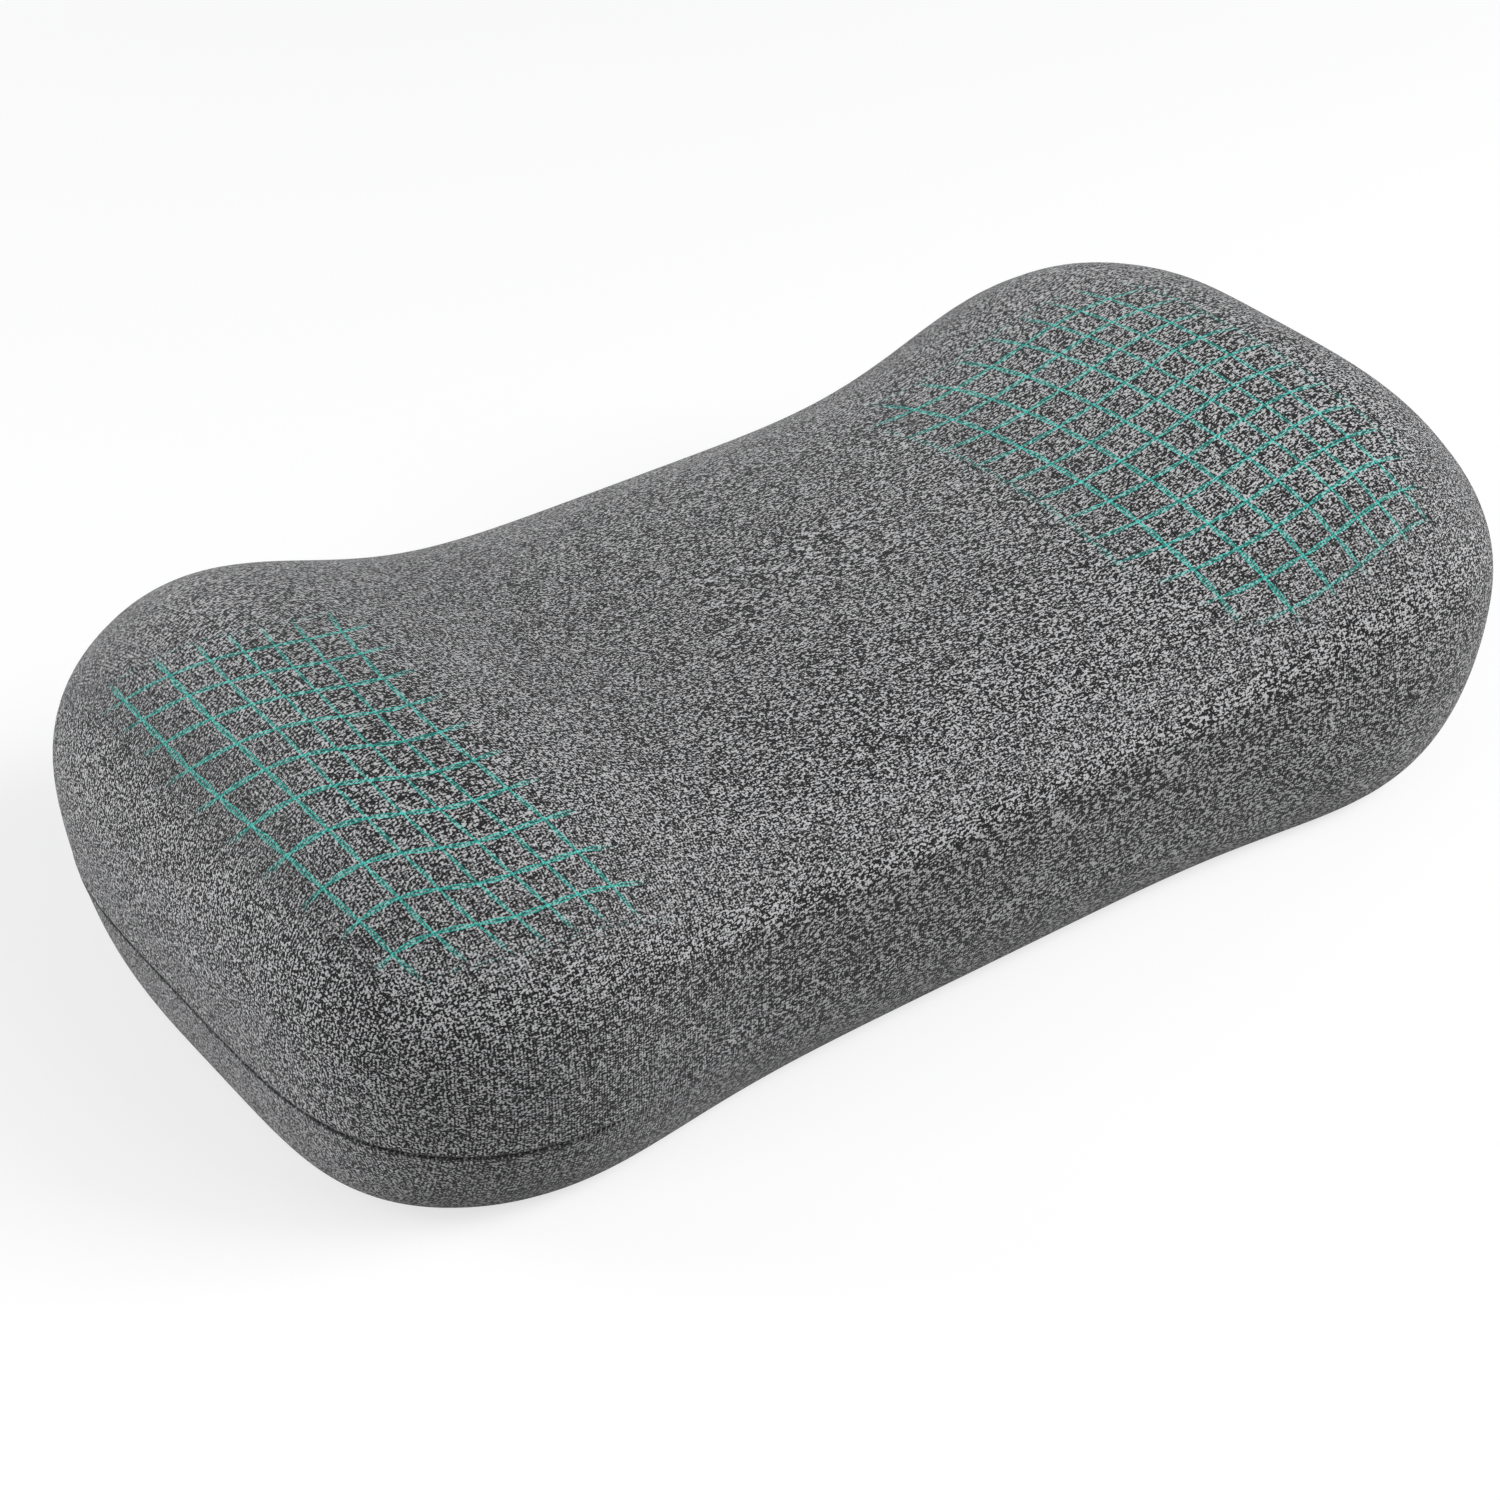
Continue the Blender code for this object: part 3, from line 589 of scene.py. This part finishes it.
def addFacingAndPrint(piece):
    # Where the fabric faces, and how far along and across each point lies, measured on the surface
    look = printMapGrid
    mesh = piece.data
    place = readPoints(mesh)
    normal = readPoints(mesh, "normal")
    facing = np.stack([normal[:, 0] ** 2, normal[:, 1] ** 2, normal[:, 2]], axis=1)
    addVectors(mesh, "facing", facing)
    tree = BVHTree.FromObject(piece, bpy.context.evaluated_depsgraph_get())
    xs = np.linspace(-look["halfX"], look["halfX"], look["countX"])
    ys = np.linspace(-look["halfY"], look["halfY"], look["countY"])
    heights = np.full((len(xs), len(ys)), look["emptyHeight"])
    for i, xHere in enumerate(xs):
        for j, yHere in enumerate(ys):
            hit = tree.ray_cast(Vector((xHere, yHere, look["startHeight"])), Vector((0, 0, -1)))
            if hit[0] is not None:
                heights[i, j] = hit[0].z
    alongX = np.zeros_like(heights)
    alongX[1:] = np.cumsum(np.hypot(np.diff(heights, axis=0), np.diff(xs)[:, None]), axis=0)
    alongX -= alongX[len(xs) // 2]
    alongY = np.zeros_like(heights)
    alongY[:, 1:] = np.cumsum(np.hypot(np.diff(heights, axis=1), np.diff(ys)[None]), axis=1)
    alongY -= alongY[:, len(ys) // 2][:, None]
    gx = np.clip((place[:, 0] - xs[0]) / (xs[1] - xs[0]), 0, len(xs) - 1.001)
    gy = np.clip((place[:, 1] - ys[0]) / (ys[1] - ys[0]), 0, len(ys) - 1.001)
    i, j = gx.astype(int), gy.astype(int)
    fx, fy = gx - i, gy - j
    flat = np.zeros_like(place)
    for k, table in enumerate((alongX, alongY)):
        nearer = table[i, j] * (1 - fx) + table[i + 1, j] * fx
        farther = table[i, j + 1] * (1 - fx) + table[i + 1, j + 1] * fx
        flat[:, k] = nearer * (1 - fy) + farther * fy
    addVectors(mesh, "printMap", flat)


# The stretched fabric swells between its held lines: cloth simulation on a coarse closed skin

swellLook = {
    "around": 180, "upwards": 61, "voxel": 0.0045,
    "pressure": 4.0, "frames": 20, "quality": 5,
    "seamHalf": 0.115, "seamPoints": 116,
    "finerLevels": 2,
    "startInset": 0.0002,  # taken off the swelling, so that the cover keeps its size
    "cap": 0.0005,  # how far the foam lets the fabric stand off
    "heldSeam": 0.004,  # to each side of the zip the fabric is held
    "baseClear": 0.006,
    "sliderClear": 0.022,
}


def closedSkin():
    angles = np.linspace(-np.pi, np.pi, swellLook["around"] + 1)[:-1]
    turns = np.linspace(-np.pi / 2, np.pi / 2, swellLook["upwards"])
    points = surfacePoint(angles[:, None], turns[None, :]).transpose(1, 0, 2)
    count = len(angles)
    points = np.concatenate([points.reshape(-1, 3), [(0.0, 0.0, 0.0)]])
    faces = []
    for i in range(len(turns) - 1):
        low, high = i * count, (i + 1) * count
        for j in range(count):
            after = (j + 1) % count
            faces.append((low + j, low + after, high + after, high + j))
    faces += [((j + 1) % count, j, len(points) - 1) for j in range(count)]
    skin = meshObject("swellSkin", points, faces, None)
    remesh = skin.modifiers.new("voxels", "REMESH")
    remesh.mode, remesh.voxel_size = "VOXEL", swellLook["voxel"]
    depsgraph = bpy.context.evaluated_depsgraph_get()
    mesh = bpy.data.meshes.new_from_object(skin.evaluated_get(depsgraph), depsgraph=depsgraph)
    skin.modifiers.remove(remesh)
    skin.data = mesh
    return skin


def readPoints(mesh, what="co"):
    values = np.empty(len(mesh.vertices) * 3)
    mesh.vertices.foreach_get(what, values)
    return values.reshape(-1, 3)


def simulate(skin):  # points of the skin before and after the pressure
    scene = bpy.context.scene
    look = swellLook
    start = readPoints(skin.data)
    places = np.linspace(-look["seamHalf"], look["seamHalf"], look["seamPoints"])
    seamLine = np.array([wall.at(along, 0.0, 0.0)[0] for along in places])
    toSeam = np.min(np.linalg.norm(start[:, None] - seamLine[None], axis=2), axis=1)
    held = skin.vertex_groups.new(name="held")
    still = np.flatnonzero((toSeam < look["heldSeam"]) | (start[:, 2] < look["baseClear"]))
    held.add([int(k) for k in still], 1.0, "REPLACE")
    cloth = skin.modifiers.new("swell", "CLOTH")
    settings = cloth.settings
    settings.quality = look["quality"]
    settings.use_pressure, settings.uniform_pressure_force = True, look["pressure"]
    settings.vertex_group_mass = "held"
    settings.effector_weights.gravity = 0.0
    for number in range(1, look["frames"] + 1):
        scene.frame_set(number)
    depsgraph = bpy.context.evaluated_depsgraph_get()
    after = readPoints(skin.evaluated_get(depsgraph).data)
    skin.modifiers.remove(cloth)
    scene.frame_set(1)
    return start, after


def subdivided(skin, values):  # the skin's mesh with these points, made finer
    skin.data.vertices.foreach_set("co", values.ravel())
    skin.data.update()
    finer = skin.modifiers.new("finer", "SUBSURF")
    finer.levels = finer.render_levels = swellLook["finerLevels"]
    depsgraph = bpy.context.evaluated_depsgraph_get()
    mesh = bpy.data.meshes.new_from_object(skin.evaluated_get(depsgraph), depsgraph=depsgraph)
    skin.modifiers.remove(finer)
    return mesh


def swell(piece):
    look = swellLook
    skin = closedSkin()
    start, after = simulate(skin)
    before = subdivided(skin, start)
    beyond = subdivided(skin, after)
    outward = readPoints(before, "normal")
    stood = ((readPoints(beyond) - readPoints(before)) * outward).sum(axis=1)
    stood = look["cap"] * np.tanh(np.maximum(stood, 0.0) / look["cap"])
    fine = readPoints(before)
    corners = [tuple(face.vertices) for face in before.polygons]
    tree = BVHTree.FromPolygons([tuple(point) for point in fine], corners)
    corners = np.array(corners)
    place = readPoints(piece.data)
    slider = np.array(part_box("zip_pull")).mean(axis=0)
    moved = place.copy()
    for k, point in enumerate(place):
        _, _, face, _ = tree.find_nearest(Vector(point))
        four = corners[face]
        near = 1 / (np.linalg.norm(fine[four] - point, axis=1) + 1e-5) ** 2
        out = unit((outward[four] * near[:, None]).sum(axis=0))
        gain = (stood[four] * near).sum() / near.sum() - look["startInset"]
        clear = eased(np.linalg.norm(point - slider) / look["sliderClear"] - 1)
        moved[k] = point + out * (gain * clear * eased(point[2] / look["baseClear"]))
    piece.data.vertices.foreach_set("co", moved.ravel())
    piece.data.update()
    bpy.data.objects.remove(skin)
    print("cover swollen by up to", round(float(stood.max()) * 1000, 2), "mm")


wall = Wall()
cover = coverMesh(wall, knitMaterial())
swell(cover)
addFacingAndPrint(cover)
print("cover made:", len(cover.data.vertices), "points,", len(cover.data.polygons), "faces")


# Coils of the zip: one spiral of nylon each, laid by Geometry Nodes along the seam

coilLook = {
    "start": -0.1082, "end": 0.1044,
    "pitch": 0.0011,
    "stepsPerTurn": 12,
    "wireRadius": 0.00021,
    "middle": 0.00098,  # from the seam's middle line to the loops' middle
    "halfWidth": 0.00112,
    "halfHeight": 0.00052,
    "depth": 0.00335,
    "dustScale": 1800.0, "dark": (0.022, 0.022, 0.024), "dusty": (0.050, 0.050, 0.053),
}


class Tree:
    # A Geometry Nodes tree while its nodes are being laid
    def __init__(self, name, inputs):
        self.tree = bpy.data.node_groups.new(name, "GeometryNodeTree")
        self.ids = {}
        sockets = self.tree.interface
        for label, kind in {"Geometry": "NodeSocketGeometry", **inputs}.items():
            self.ids[label] = sockets.new_socket(label, in_out="INPUT", socket_type=kind).identifier
        sockets.new_socket("Geometry", in_out="OUTPUT", socket_type="NodeSocketGeometry")
        self.entry = self.tree.nodes.new("NodeGroupInput")
        self.exit = self.tree.nodes.new("NodeGroupOutput")

    def node(self, kind, settings, inputs, output=0):
        made = self.tree.nodes.new(kind)
        for name, value in settings.items():
            setattr(made, name, value)
        for key, value in inputs.items():
            if isinstance(value, bpy.types.NodeSocket):
                self.tree.links.new(value, made.inputs[key])
            else:
                made.inputs[key].default_value = value
        return made.outputs[output]

    def maths(self, operation, *values):
        return self.node("ShaderNodeMath", {"operation": operation}, dict(enumerate(values)))

    def vectors(self, operation, inputs):
        return self.node("ShaderNodeVectorMath", {"operation": operation}, inputs)

    def named(self, label):
        return self.node("GeometryNodeInputNamedAttribute", {"data_type": "FLOAT_VECTOR"}, {
            "Name": label})

    def given(self, label):
        return self.entry.outputs[label]

    def tube(self, path, radius):  # round wire along a curve, closed at its ends
        ring = self.node("GeometryNodeCurvePrimitiveCircle", {}, {"Resolution": 6, "Radius": radius})
        wire = self.node("GeometryNodeCurveToMesh", {}, {
            "Curve": path, "Profile Curve": ring, "Fill Caps": True})
        return self.node("GeometryNodeSetShadeSmooth", {}, {"Geometry": wire})

    def close(self, geometry):
        real = self.node("GeometryNodeRealizeInstances", {}, {0: geometry})
        shown = self.node("GeometryNodeSetMaterial", {}, {
            "Geometry": real, "Material": self.given("Material")})
        self.tree.links.new(shown, self.exit.inputs[0])

    def apply(self, name, path, values):  # runs on the path and gives a plain mesh object
        modifier = path.modifiers.new(name, "NODES")
        modifier.node_group = self.tree
        for label, value in values.items():
            modifier[self.ids[label]] = value
        depsgraph = bpy.context.evaluated_depsgraph_get()
        mesh = bpy.data.meshes.new_from_object(path.evaluated_get(depsgraph), depsgraph=depsgraph)
        mesh.name = name
        made = bpy.data.objects.new(name, mesh)
        bpy.context.scene.collection.objects.link(made)
        bpy.data.objects.remove(path)
        return made


def seamPath(name, start, end, step, depth):
    # A line of points under the cover's face, each with the directions up the wall and out of it
    places = np.linspace(start, end, int(round((end - start) / step)) + 1)
    points, ups, outs = [], [], []
    for along in places:
        point, out = wall.at(along, 0.0, depth)
        higher, _ = wall.at(along, upStep, depth)
        up = unit(higher - point)
        points.append(tuple(point))
        ups.append(up)
        outs.append(unit(out - up * np.dot(out, up)))
    mesh = bpy.data.meshes.new(name)
    mesh.from_pydata(points, [(k, k + 1) for k in range(len(points) - 1)], [])
    for label, values in (("wallUp", ups), ("wallOut", outs)):
        addVectors(mesh, label, values)
    made = bpy.data.objects.new(name, mesh)
    bpy.context.scene.collection.objects.link(made)
    return made


def spiralTree():
    number, whole = "NodeSocketFloat", "NodeSocketInt"
    tree = Tree("zipSpiral", {
        "Points": whole, "Steps Per Turn": number, "Start Turn": number, "Wire Radius": number,
        "Middle": number, "Half Width": number, "Half Height": number, "Material": "NodeSocketMaterial"})
    curve = tree.node("GeometryNodeMeshToCurve", {}, {"Mesh": tree.given("Geometry")})
    fine = tree.node("GeometryNodeResampleCurve", {}, {"Curve": curve, "Count": tree.given("Points")})
    index = tree.node("GeometryNodeInputIndex", {}, {})
    turn = tree.maths("DIVIDE", index, tree.given("Steps Per Turn"))
    turn = tree.maths("ADD", turn, tree.given("Start Turn"))
    phase = tree.maths("MULTIPLY", turn, 2 * np.pi)
    wide = tree.maths("MULTIPLY", tree.maths("COSINE", phase), tree.given("Half Width"))
    sideways = tree.maths("ADD", wide, tree.given("Middle"))
    high = tree.maths("MULTIPLY", tree.maths("SINE", phase), tree.given("Half Height"))
    up = tree.vectors("SCALE", {"Vector": tree.named("wallUp"), "Scale": sideways})
    out = tree.vectors("SCALE", {"Vector": tree.named("wallOut"), "Scale": high})
    offset = tree.vectors("ADD", {0: up, 1: out})
    moved = tree.node("GeometryNodeSetPosition", {}, {"Geometry": fine, "Offset": offset})
    tree.close(tree.tube(moved, tree.given("Wire Radius")))
    return tree


def nylonMaterial():
    paint = Paint("zipNylon")
    dust = paint.noise(paint.place(), coilLook["dustScale"], 2.0)
    colour = paint.blend(paint.smooth(dust, 0.35, 0.75), coilLook["dark"], coilLook["dusty"])
    return paint.finish(colour, 0.38 + dust * 0.15, Normal=paint.bump(dust, 0.1, 0.00005))


spiral = spiralTree()
nylon = nylonMaterial()
turns = (coilLook["end"] - coilLook["start"]) / coilLook["pitch"]
coils = []
look = coilLook
for name, side, startTurn in (("Upper", 1, 0.0), ("Lower", -1, 0.5)):
    path = seamPath("coilPath" + name, look["start"], look["end"], look["pitch"], look["depth"])
    coils.append(spiral.apply("zipCoil" + name, path, {
        "Points": int(turns * look["stepsPerTurn"]), "Steps Per Turn": float(look["stepsPerTurn"]),
        "Start Turn": startTurn, "Wire Radius": look["wireRadius"],
        "Middle": side * look["middle"], "Half Width": side * look["halfWidth"],
        "Half Height": look["halfHeight"], "Material": nylon}))
print("coils made:", [len(c.data.polygons) for c in coils])


# Stitches that close the slit's ends, by Geometry Nodes

stitchLook = {
    "pitch": 0.0011,
    "threadRadius": 0.00012,
    "halfSpan": 0.00062,
    "rise": 0.00034,
    "lean": 0.35,  # along the zip, as a share of halfSpan
    "sink": 0.9, "arch": 1.5,  # of the ends below the face and the middle above it, as shares of rise
    "twistScale": 5200.0, "dark": (0.11, 0.11, 0.115), "light": (0.30, 0.30, 0.30),
    "frontRun": (-0.1142, -0.0965),
    "backRun": (0.1098, 0.1142),
}


def stitchTree():
    number = "NodeSocketFloat"
    tree = Tree("closingStitches", {
        "Pitch": number, "Thread Radius": number, "Half Span": number, "Rise": number,
        "Material": "NodeSocketMaterial"})
    curve = tree.node("GeometryNodeMeshToCurve", {}, {"Mesh": tree.given("Geometry")})
    spots = tree.node("GeometryNodeResampleCurve", {"mode": "LENGTH"}, {
        "Curve": curve, "Length": tree.given("Pitch")})
    span, rise = tree.given("Half Span"), tree.given("Rise")
    lean = tree.maths("MULTIPLY", span, stitchLook["lean"])

    def corner(along, up, out):
        return tree.node("ShaderNodeCombineXYZ", {}, {0: along, 1: up, 2: out})

    sunk = tree.maths("MULTIPLY", rise, -stitchLook["sink"])
    ends = [
        corner(tree.maths("MULTIPLY", lean, side), tree.maths("MULTIPLY", span, side), sunk)
        for side in (-1, 1)]
    high = corner(0.0, 0.0, tree.maths("MULTIPLY", rise, stitchLook["arch"]))
    arch = tree.node("GeometryNodeCurveQuadraticBezier", {}, {
        "Resolution": 7, "Start": ends[0], "Middle": high, "End": ends[1]})
    smooth = tree.tube(arch, tree.given("Thread Radius"))
    outward = tree.node("FunctionNodeAlignRotationToVector", {"axis": "Z"}, {
        "Vector": tree.named("wallOut")})
    turned = tree.node("FunctionNodeAlignRotationToVector", {"axis": "Y", "pivot_axis": "Z"}, {
        "Rotation": outward, "Vector": tree.named("wallUp")})
    placed = tree.node("GeometryNodeInstanceOnPoints", {}, {
        "Points": spots, "Instance": smooth, "Rotation": turned})
    tree.close(placed)
    return tree


def threadMaterial():
    paint = Paint("greyThread")
    twist = paint.noise(paint.place(), stitchLook["twistScale"], 1.0)
    colour = paint.blend(paint.smooth(twist, 0.3, 0.7), stitchLook["dark"], stitchLook["light"])
    return paint.finish(colour, 0.85, Normal=paint.bump(twist, 0.4, 0.00008), Sheen_Weight=0.2)


stitches = []
stitching = stitchTree()
thread = threadMaterial()
for name, (start, end) in (("Front", stitchLook["frontRun"]), ("Back", stitchLook["backRun"])):
    path = seamPath("stitchPath" + name, start, end, stitchLook["pitch"], 0.0)
    stitches.append(stitching.apply("closingStitches" + name, path, {
        "Pitch": stitchLook["pitch"], "Thread Radius": stitchLook["threadRadius"],
        "Half Span": stitchLook["halfSpan"], "Rise": stitchLook["rise"], "Material": thread}))
print("stitches made:", [len(s.data.polygons) for s in stitches])


# Slider and pull: the solids with their edges eased

metalLook = {
    "edge": 0.00012,  # width of the eased edges
    "easedFrom": 40, "sharpFrom": 35,  # degrees between faces
    "cloudScale": 420.0, "scratchScale": 3800.0,
    "dark": (0.030, 0.031, 0.034), "rubbed": (0.30, 0.30, 0.31),
}


def metalMaterial():
    paint = Paint("gunmetal")
    cloud = paint.noise(paint.place(), metalLook["cloudScale"], 3.0, 0.6)
    scratch = paint.noise(paint.place((1.0, 0.08, 1.0)), metalLook["scratchScale"], 1.0)
    worn = paint.smooth(cloud * 0.6 + scratch * 0.4, 0.56, 0.70)
    colour = paint.blend(worn, metalLook["dark"], metalLook["rubbed"])
    normal = paint.bump(scratch, 0.06, 0.00003)
    return paint.finish(colour, 0.30 + cloud * 0.2, Metallic=0.55 + worn * 0.4, Normal=normal)


def easedCopy(node, name, material):
    mesh = frame["nodes"][node].data.copy()
    mesh.name = name
    mesh.materials.clear()
    mesh.materials.append(material)
    shaped = bmesh.new()
    shaped.from_mesh(mesh)
    bmesh.ops.remove_doubles(shaped, verts=shaped.verts, dist=mergeGap)
    bmesh.ops.dissolve_limit(shaped, angle_limit=np.radians(1), verts=shaped.verts, edges=shaped.edges)
    limit = np.radians(metalLook["easedFrom"])
    sharp = [edge for edge in shaped.edges if edge.is_manifold and edge.calc_face_angle(0) > limit]
    bmesh.ops.bevel(
        shaped, geom=sharp, offset=metalLook["edge"], segments=2, profile=0.5, affect="EDGES",
        clamp_overlap=True)
    bmesh.ops.triangulate(shaped, faces=[f for f in shaped.faces if len(f.verts) > 4])
    shaped.to_mesh(mesh)
    shaped.free()
    mesh.shade_smooth()
    mesh.set_sharp_from_angle(angle=np.radians(metalLook["sharpFrom"]))
    made = bpy.data.objects.new(name, mesh)
    bpy.context.scene.collection.objects.link(made)
    return made


metal = metalMaterial()
slider = easedCopy("zip_slider", "sliderBody", metal)
pull = easedCopy("zip_pull", "sliderPull", metal)
print("slider and pull made:", len(slider.data.polygons), len(pull.data.polygons))


# Finishes of the solids that are kept

foamLook = {"cellScale": 1400.0, "deep": (0.62, 0.55, 0.42), "pale": (0.86, 0.83, 0.75)}
tapeLook = {
    "ribs": 9000.0, "fuzzScale": 2500.0,
    "dark": (0.025, 0.025, 0.028), "light": (0.085, 0.085, 0.09),
}


def foamMaterial():
    look = foamLook
    paint = Paint("memoryFoam")
    cells = paint.node("ShaderNodeTexVoronoi", {"feature": "F1"}, {
        "Vector": paint.place(), "Scale": look["cellScale"]})
    shade = paint.smooth(cells, 0.1, 0.6) * 0.7 + paint.noise(paint.place(), 40.0, 2.0) * 0.3
    colour = paint.blend(shade, look["deep"], look["pale"])
    return paint.finish(colour, 0.95, Normal=paint.bump(cells, 0.5, 0.0003), Sheen_Weight=0.1)


def tapeMaterial():
    look = tapeLook
    paint = Paint("zipTapeWeave")
    x, y, z = paint.parts(paint.place())
    rib = paint.maths("SINE", (x + y) * look["ribs"]) * paint.maths("SINE", z * look["ribs"])
    fuzz = paint.noise(paint.place(), look["fuzzScale"], 2.0)
    shade = paint.smooth(rib * 0.3 + fuzz, 0.3, 0.8)
    colour = paint.blend(shade, look["dark"], look["light"])
    normal = paint.bump(rib * 0.5 + fuzz, 0.4, 0.00015)
    return paint.finish(colour, 0.9, Normal=normal, Sheen_Weight=0.15)


keptFinishes = {
    "foam_core": foamMaterial(),
    "zip_tape_upper": tapeMaterial(),
    "zip_bottom_stop": metal, "zip_top_stop_upper": metal, "zip_top_stop_lower": metal,
}
keptFinishes["zip_tape_lower"] = keptFinishes["zip_tape_upper"]
for node, material in keptFinishes.items():
    for slot in frame["nodes"][node].material_slots:
        slot.material = material


# Camera, floor and light

studio = {
    "azimuth": -36.606, "elevation": 35.222, "distance": 0.7189, "lens": 80.0, "sensor": 36.0,
    "target": (-0.00295, 0.01410, 0.01276),
    "ambient": 0.25,
    "ambientColour": (0.97, 0.985, 1.0),
    "floorColour": 0.35, "floorGlow": 0.68,
    "floorHalf": 6.0,
    "floorFade": (0.45, 1.4),  # distances over which the floor turns white
    "floorGrain": 3.0, "floorMottle": 0.02,
    "softboxSize": 0.6, "softboxReach": 1.3, "softboxAim": 0.05,
    "softboxes": {  # azimuth from the front, elevation, watts
        "keyRight": (45, 40, 10.0), "keyFront": (18, 47, 3.9),
        "lowLeft": (270, 15, 5.5), "backLeft": (225, 15, 7.4),
    },
}


def awayFrom(azimuth, elevation):  # direction from the pillow, azimuth 0 to the front and 90 to +X
    azimuth, elevation = np.radians(azimuth), np.radians(elevation)
    level = np.cos(elevation)
    return Vector((np.sin(azimuth) * level, -np.cos(azimuth) * level, np.sin(elevation)))


def placeCamera():
    back = awayFrom(studio["azimuth"], studio["elevation"])
    data = bpy.data.cameras.new("studioCamera")
    data.lens, data.sensor_width = studio["lens"], studio["sensor"]
    camera = bpy.data.objects.new("studioCamera", data)
    camera.location = Vector(studio["target"]) + back * studio["distance"]
    camera.rotation_euler = back.to_track_quat("Z", "Y").to_euler()
    bpy.context.scene.collection.objects.link(camera)
    bpy.context.scene.camera = camera


def softbox(name, azimuth, elevation, power):
    data = bpy.data.lights.new(name, "AREA")
    data.shape, data.size, data.energy = "SQUARE", studio["softboxSize"], power
    lamp = bpy.data.objects.new(name, data)
    lamp.location = awayFrom(azimuth, elevation) * studio["softboxReach"]
    aim = lamp.location - Vector((0, 0, studio["softboxAim"]))
    lamp.rotation_euler = aim.to_track_quat("Z", "Y").to_euler()
    bpy.context.scene.collection.objects.link(lamp)


def directSight(tree):  # 1 for what the camera sees, straight or in a gloss or glass
    path = tree.nodes.new("ShaderNodeLightPath")
    seen = path.outputs["Is Camera Ray"]
    for label in ("Is Glossy Ray", "Is Transmission Ray"):
        either = tree.nodes.new("ShaderNodeMath")
        either.operation = "MAXIMUM"
        tree.links.new(seen, either.inputs[0])
        tree.links.new(path.outputs[label], either.inputs[1])
        seen = either.outputs[0]
    return seen


def makeFloor():
    paint = Paint("studioFloor")
    seen = Wire(paint, directSight(paint.tree))
    grain = paint.noise(paint.place(), studio["floorGrain"], 2.0)
    level = studio["floorColour"] * (1.0 + (grain - 0.5) * studio["floorMottle"])
    colour = paint.node("ShaderNodeCombineColor", {}, {0: level, 1: level, 2: level})
    distance = paint.node("ShaderNodeVectorMath", {"operation": "LENGTH"}, {0: paint.place()}, 1)
    far = paint.smooth(distance, *studio["floorFade"])
    glow = paint.blend(far, (studio["floorGlow"],) * 3, (1.0, 1.0, 1.0))
    glow = paint.blend(seen, (0.0, 0.0, 0.0), glow)
    material = paint.finish(
        colour, 0.9, Emission_Color=glow, Emission_Strength=1.0, Specular_IOR_Level=0.1)
    half = studio["floorHalf"]
    corners = [(-half, -half, 0), (half, -half, 0), (half, half, 0), (-half, half, 0)]
    floor = meshObject("studioFloor", corners, [(0, 1, 2, 3)], material)


def makeWorld():
    world = bpy.data.worlds.new("studioWorld")
    world.use_nodes = True
    tree = world.node_tree
    sky = tree.nodes["Background"]
    sky.inputs["Color"].default_value = (*studio["ambientColour"], 1.0)
    level = tree.nodes.new("ShaderNodeMapRange")
    level.inputs["To Min"].default_value = studio["ambient"]
    level.inputs["To Max"].default_value = 1.0
    tree.links.new(directSight(tree), level.inputs["Value"])
    tree.links.new(level.outputs[0], sky.inputs["Strength"])
    bpy.context.scene.world = world


placeCamera()
makeFloor()
makeWorld()
for name, (azimuth, elevation, power) in studio["softboxes"].items():
    softbox(name, azimuth, elevation, power)
bpy.context.scene.view_settings.view_transform = "Standard"
print("camera, floor and light set")


# What each piece rides on; the solids that the new pieces take over from are hidden

for piece, body, slotName in (
    (cover, "pillow", "grey_knit"), (coils[0], "pillow", "zip_coil"), (coils[1], "pillow", "zip_coil"),
    (stitches[0], "pillow", "grey_knit"), (stitches[1], "pillow", "grey_knit"),
    (slider, "pillow", "zip_metal"), (pull, "pull", "zip_metal"),
):
    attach(piece, body)
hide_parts("cover")
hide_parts("zip_coil_upper")
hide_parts("zip_coil_lower")
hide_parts("zip_slider")
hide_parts("zip_pull")
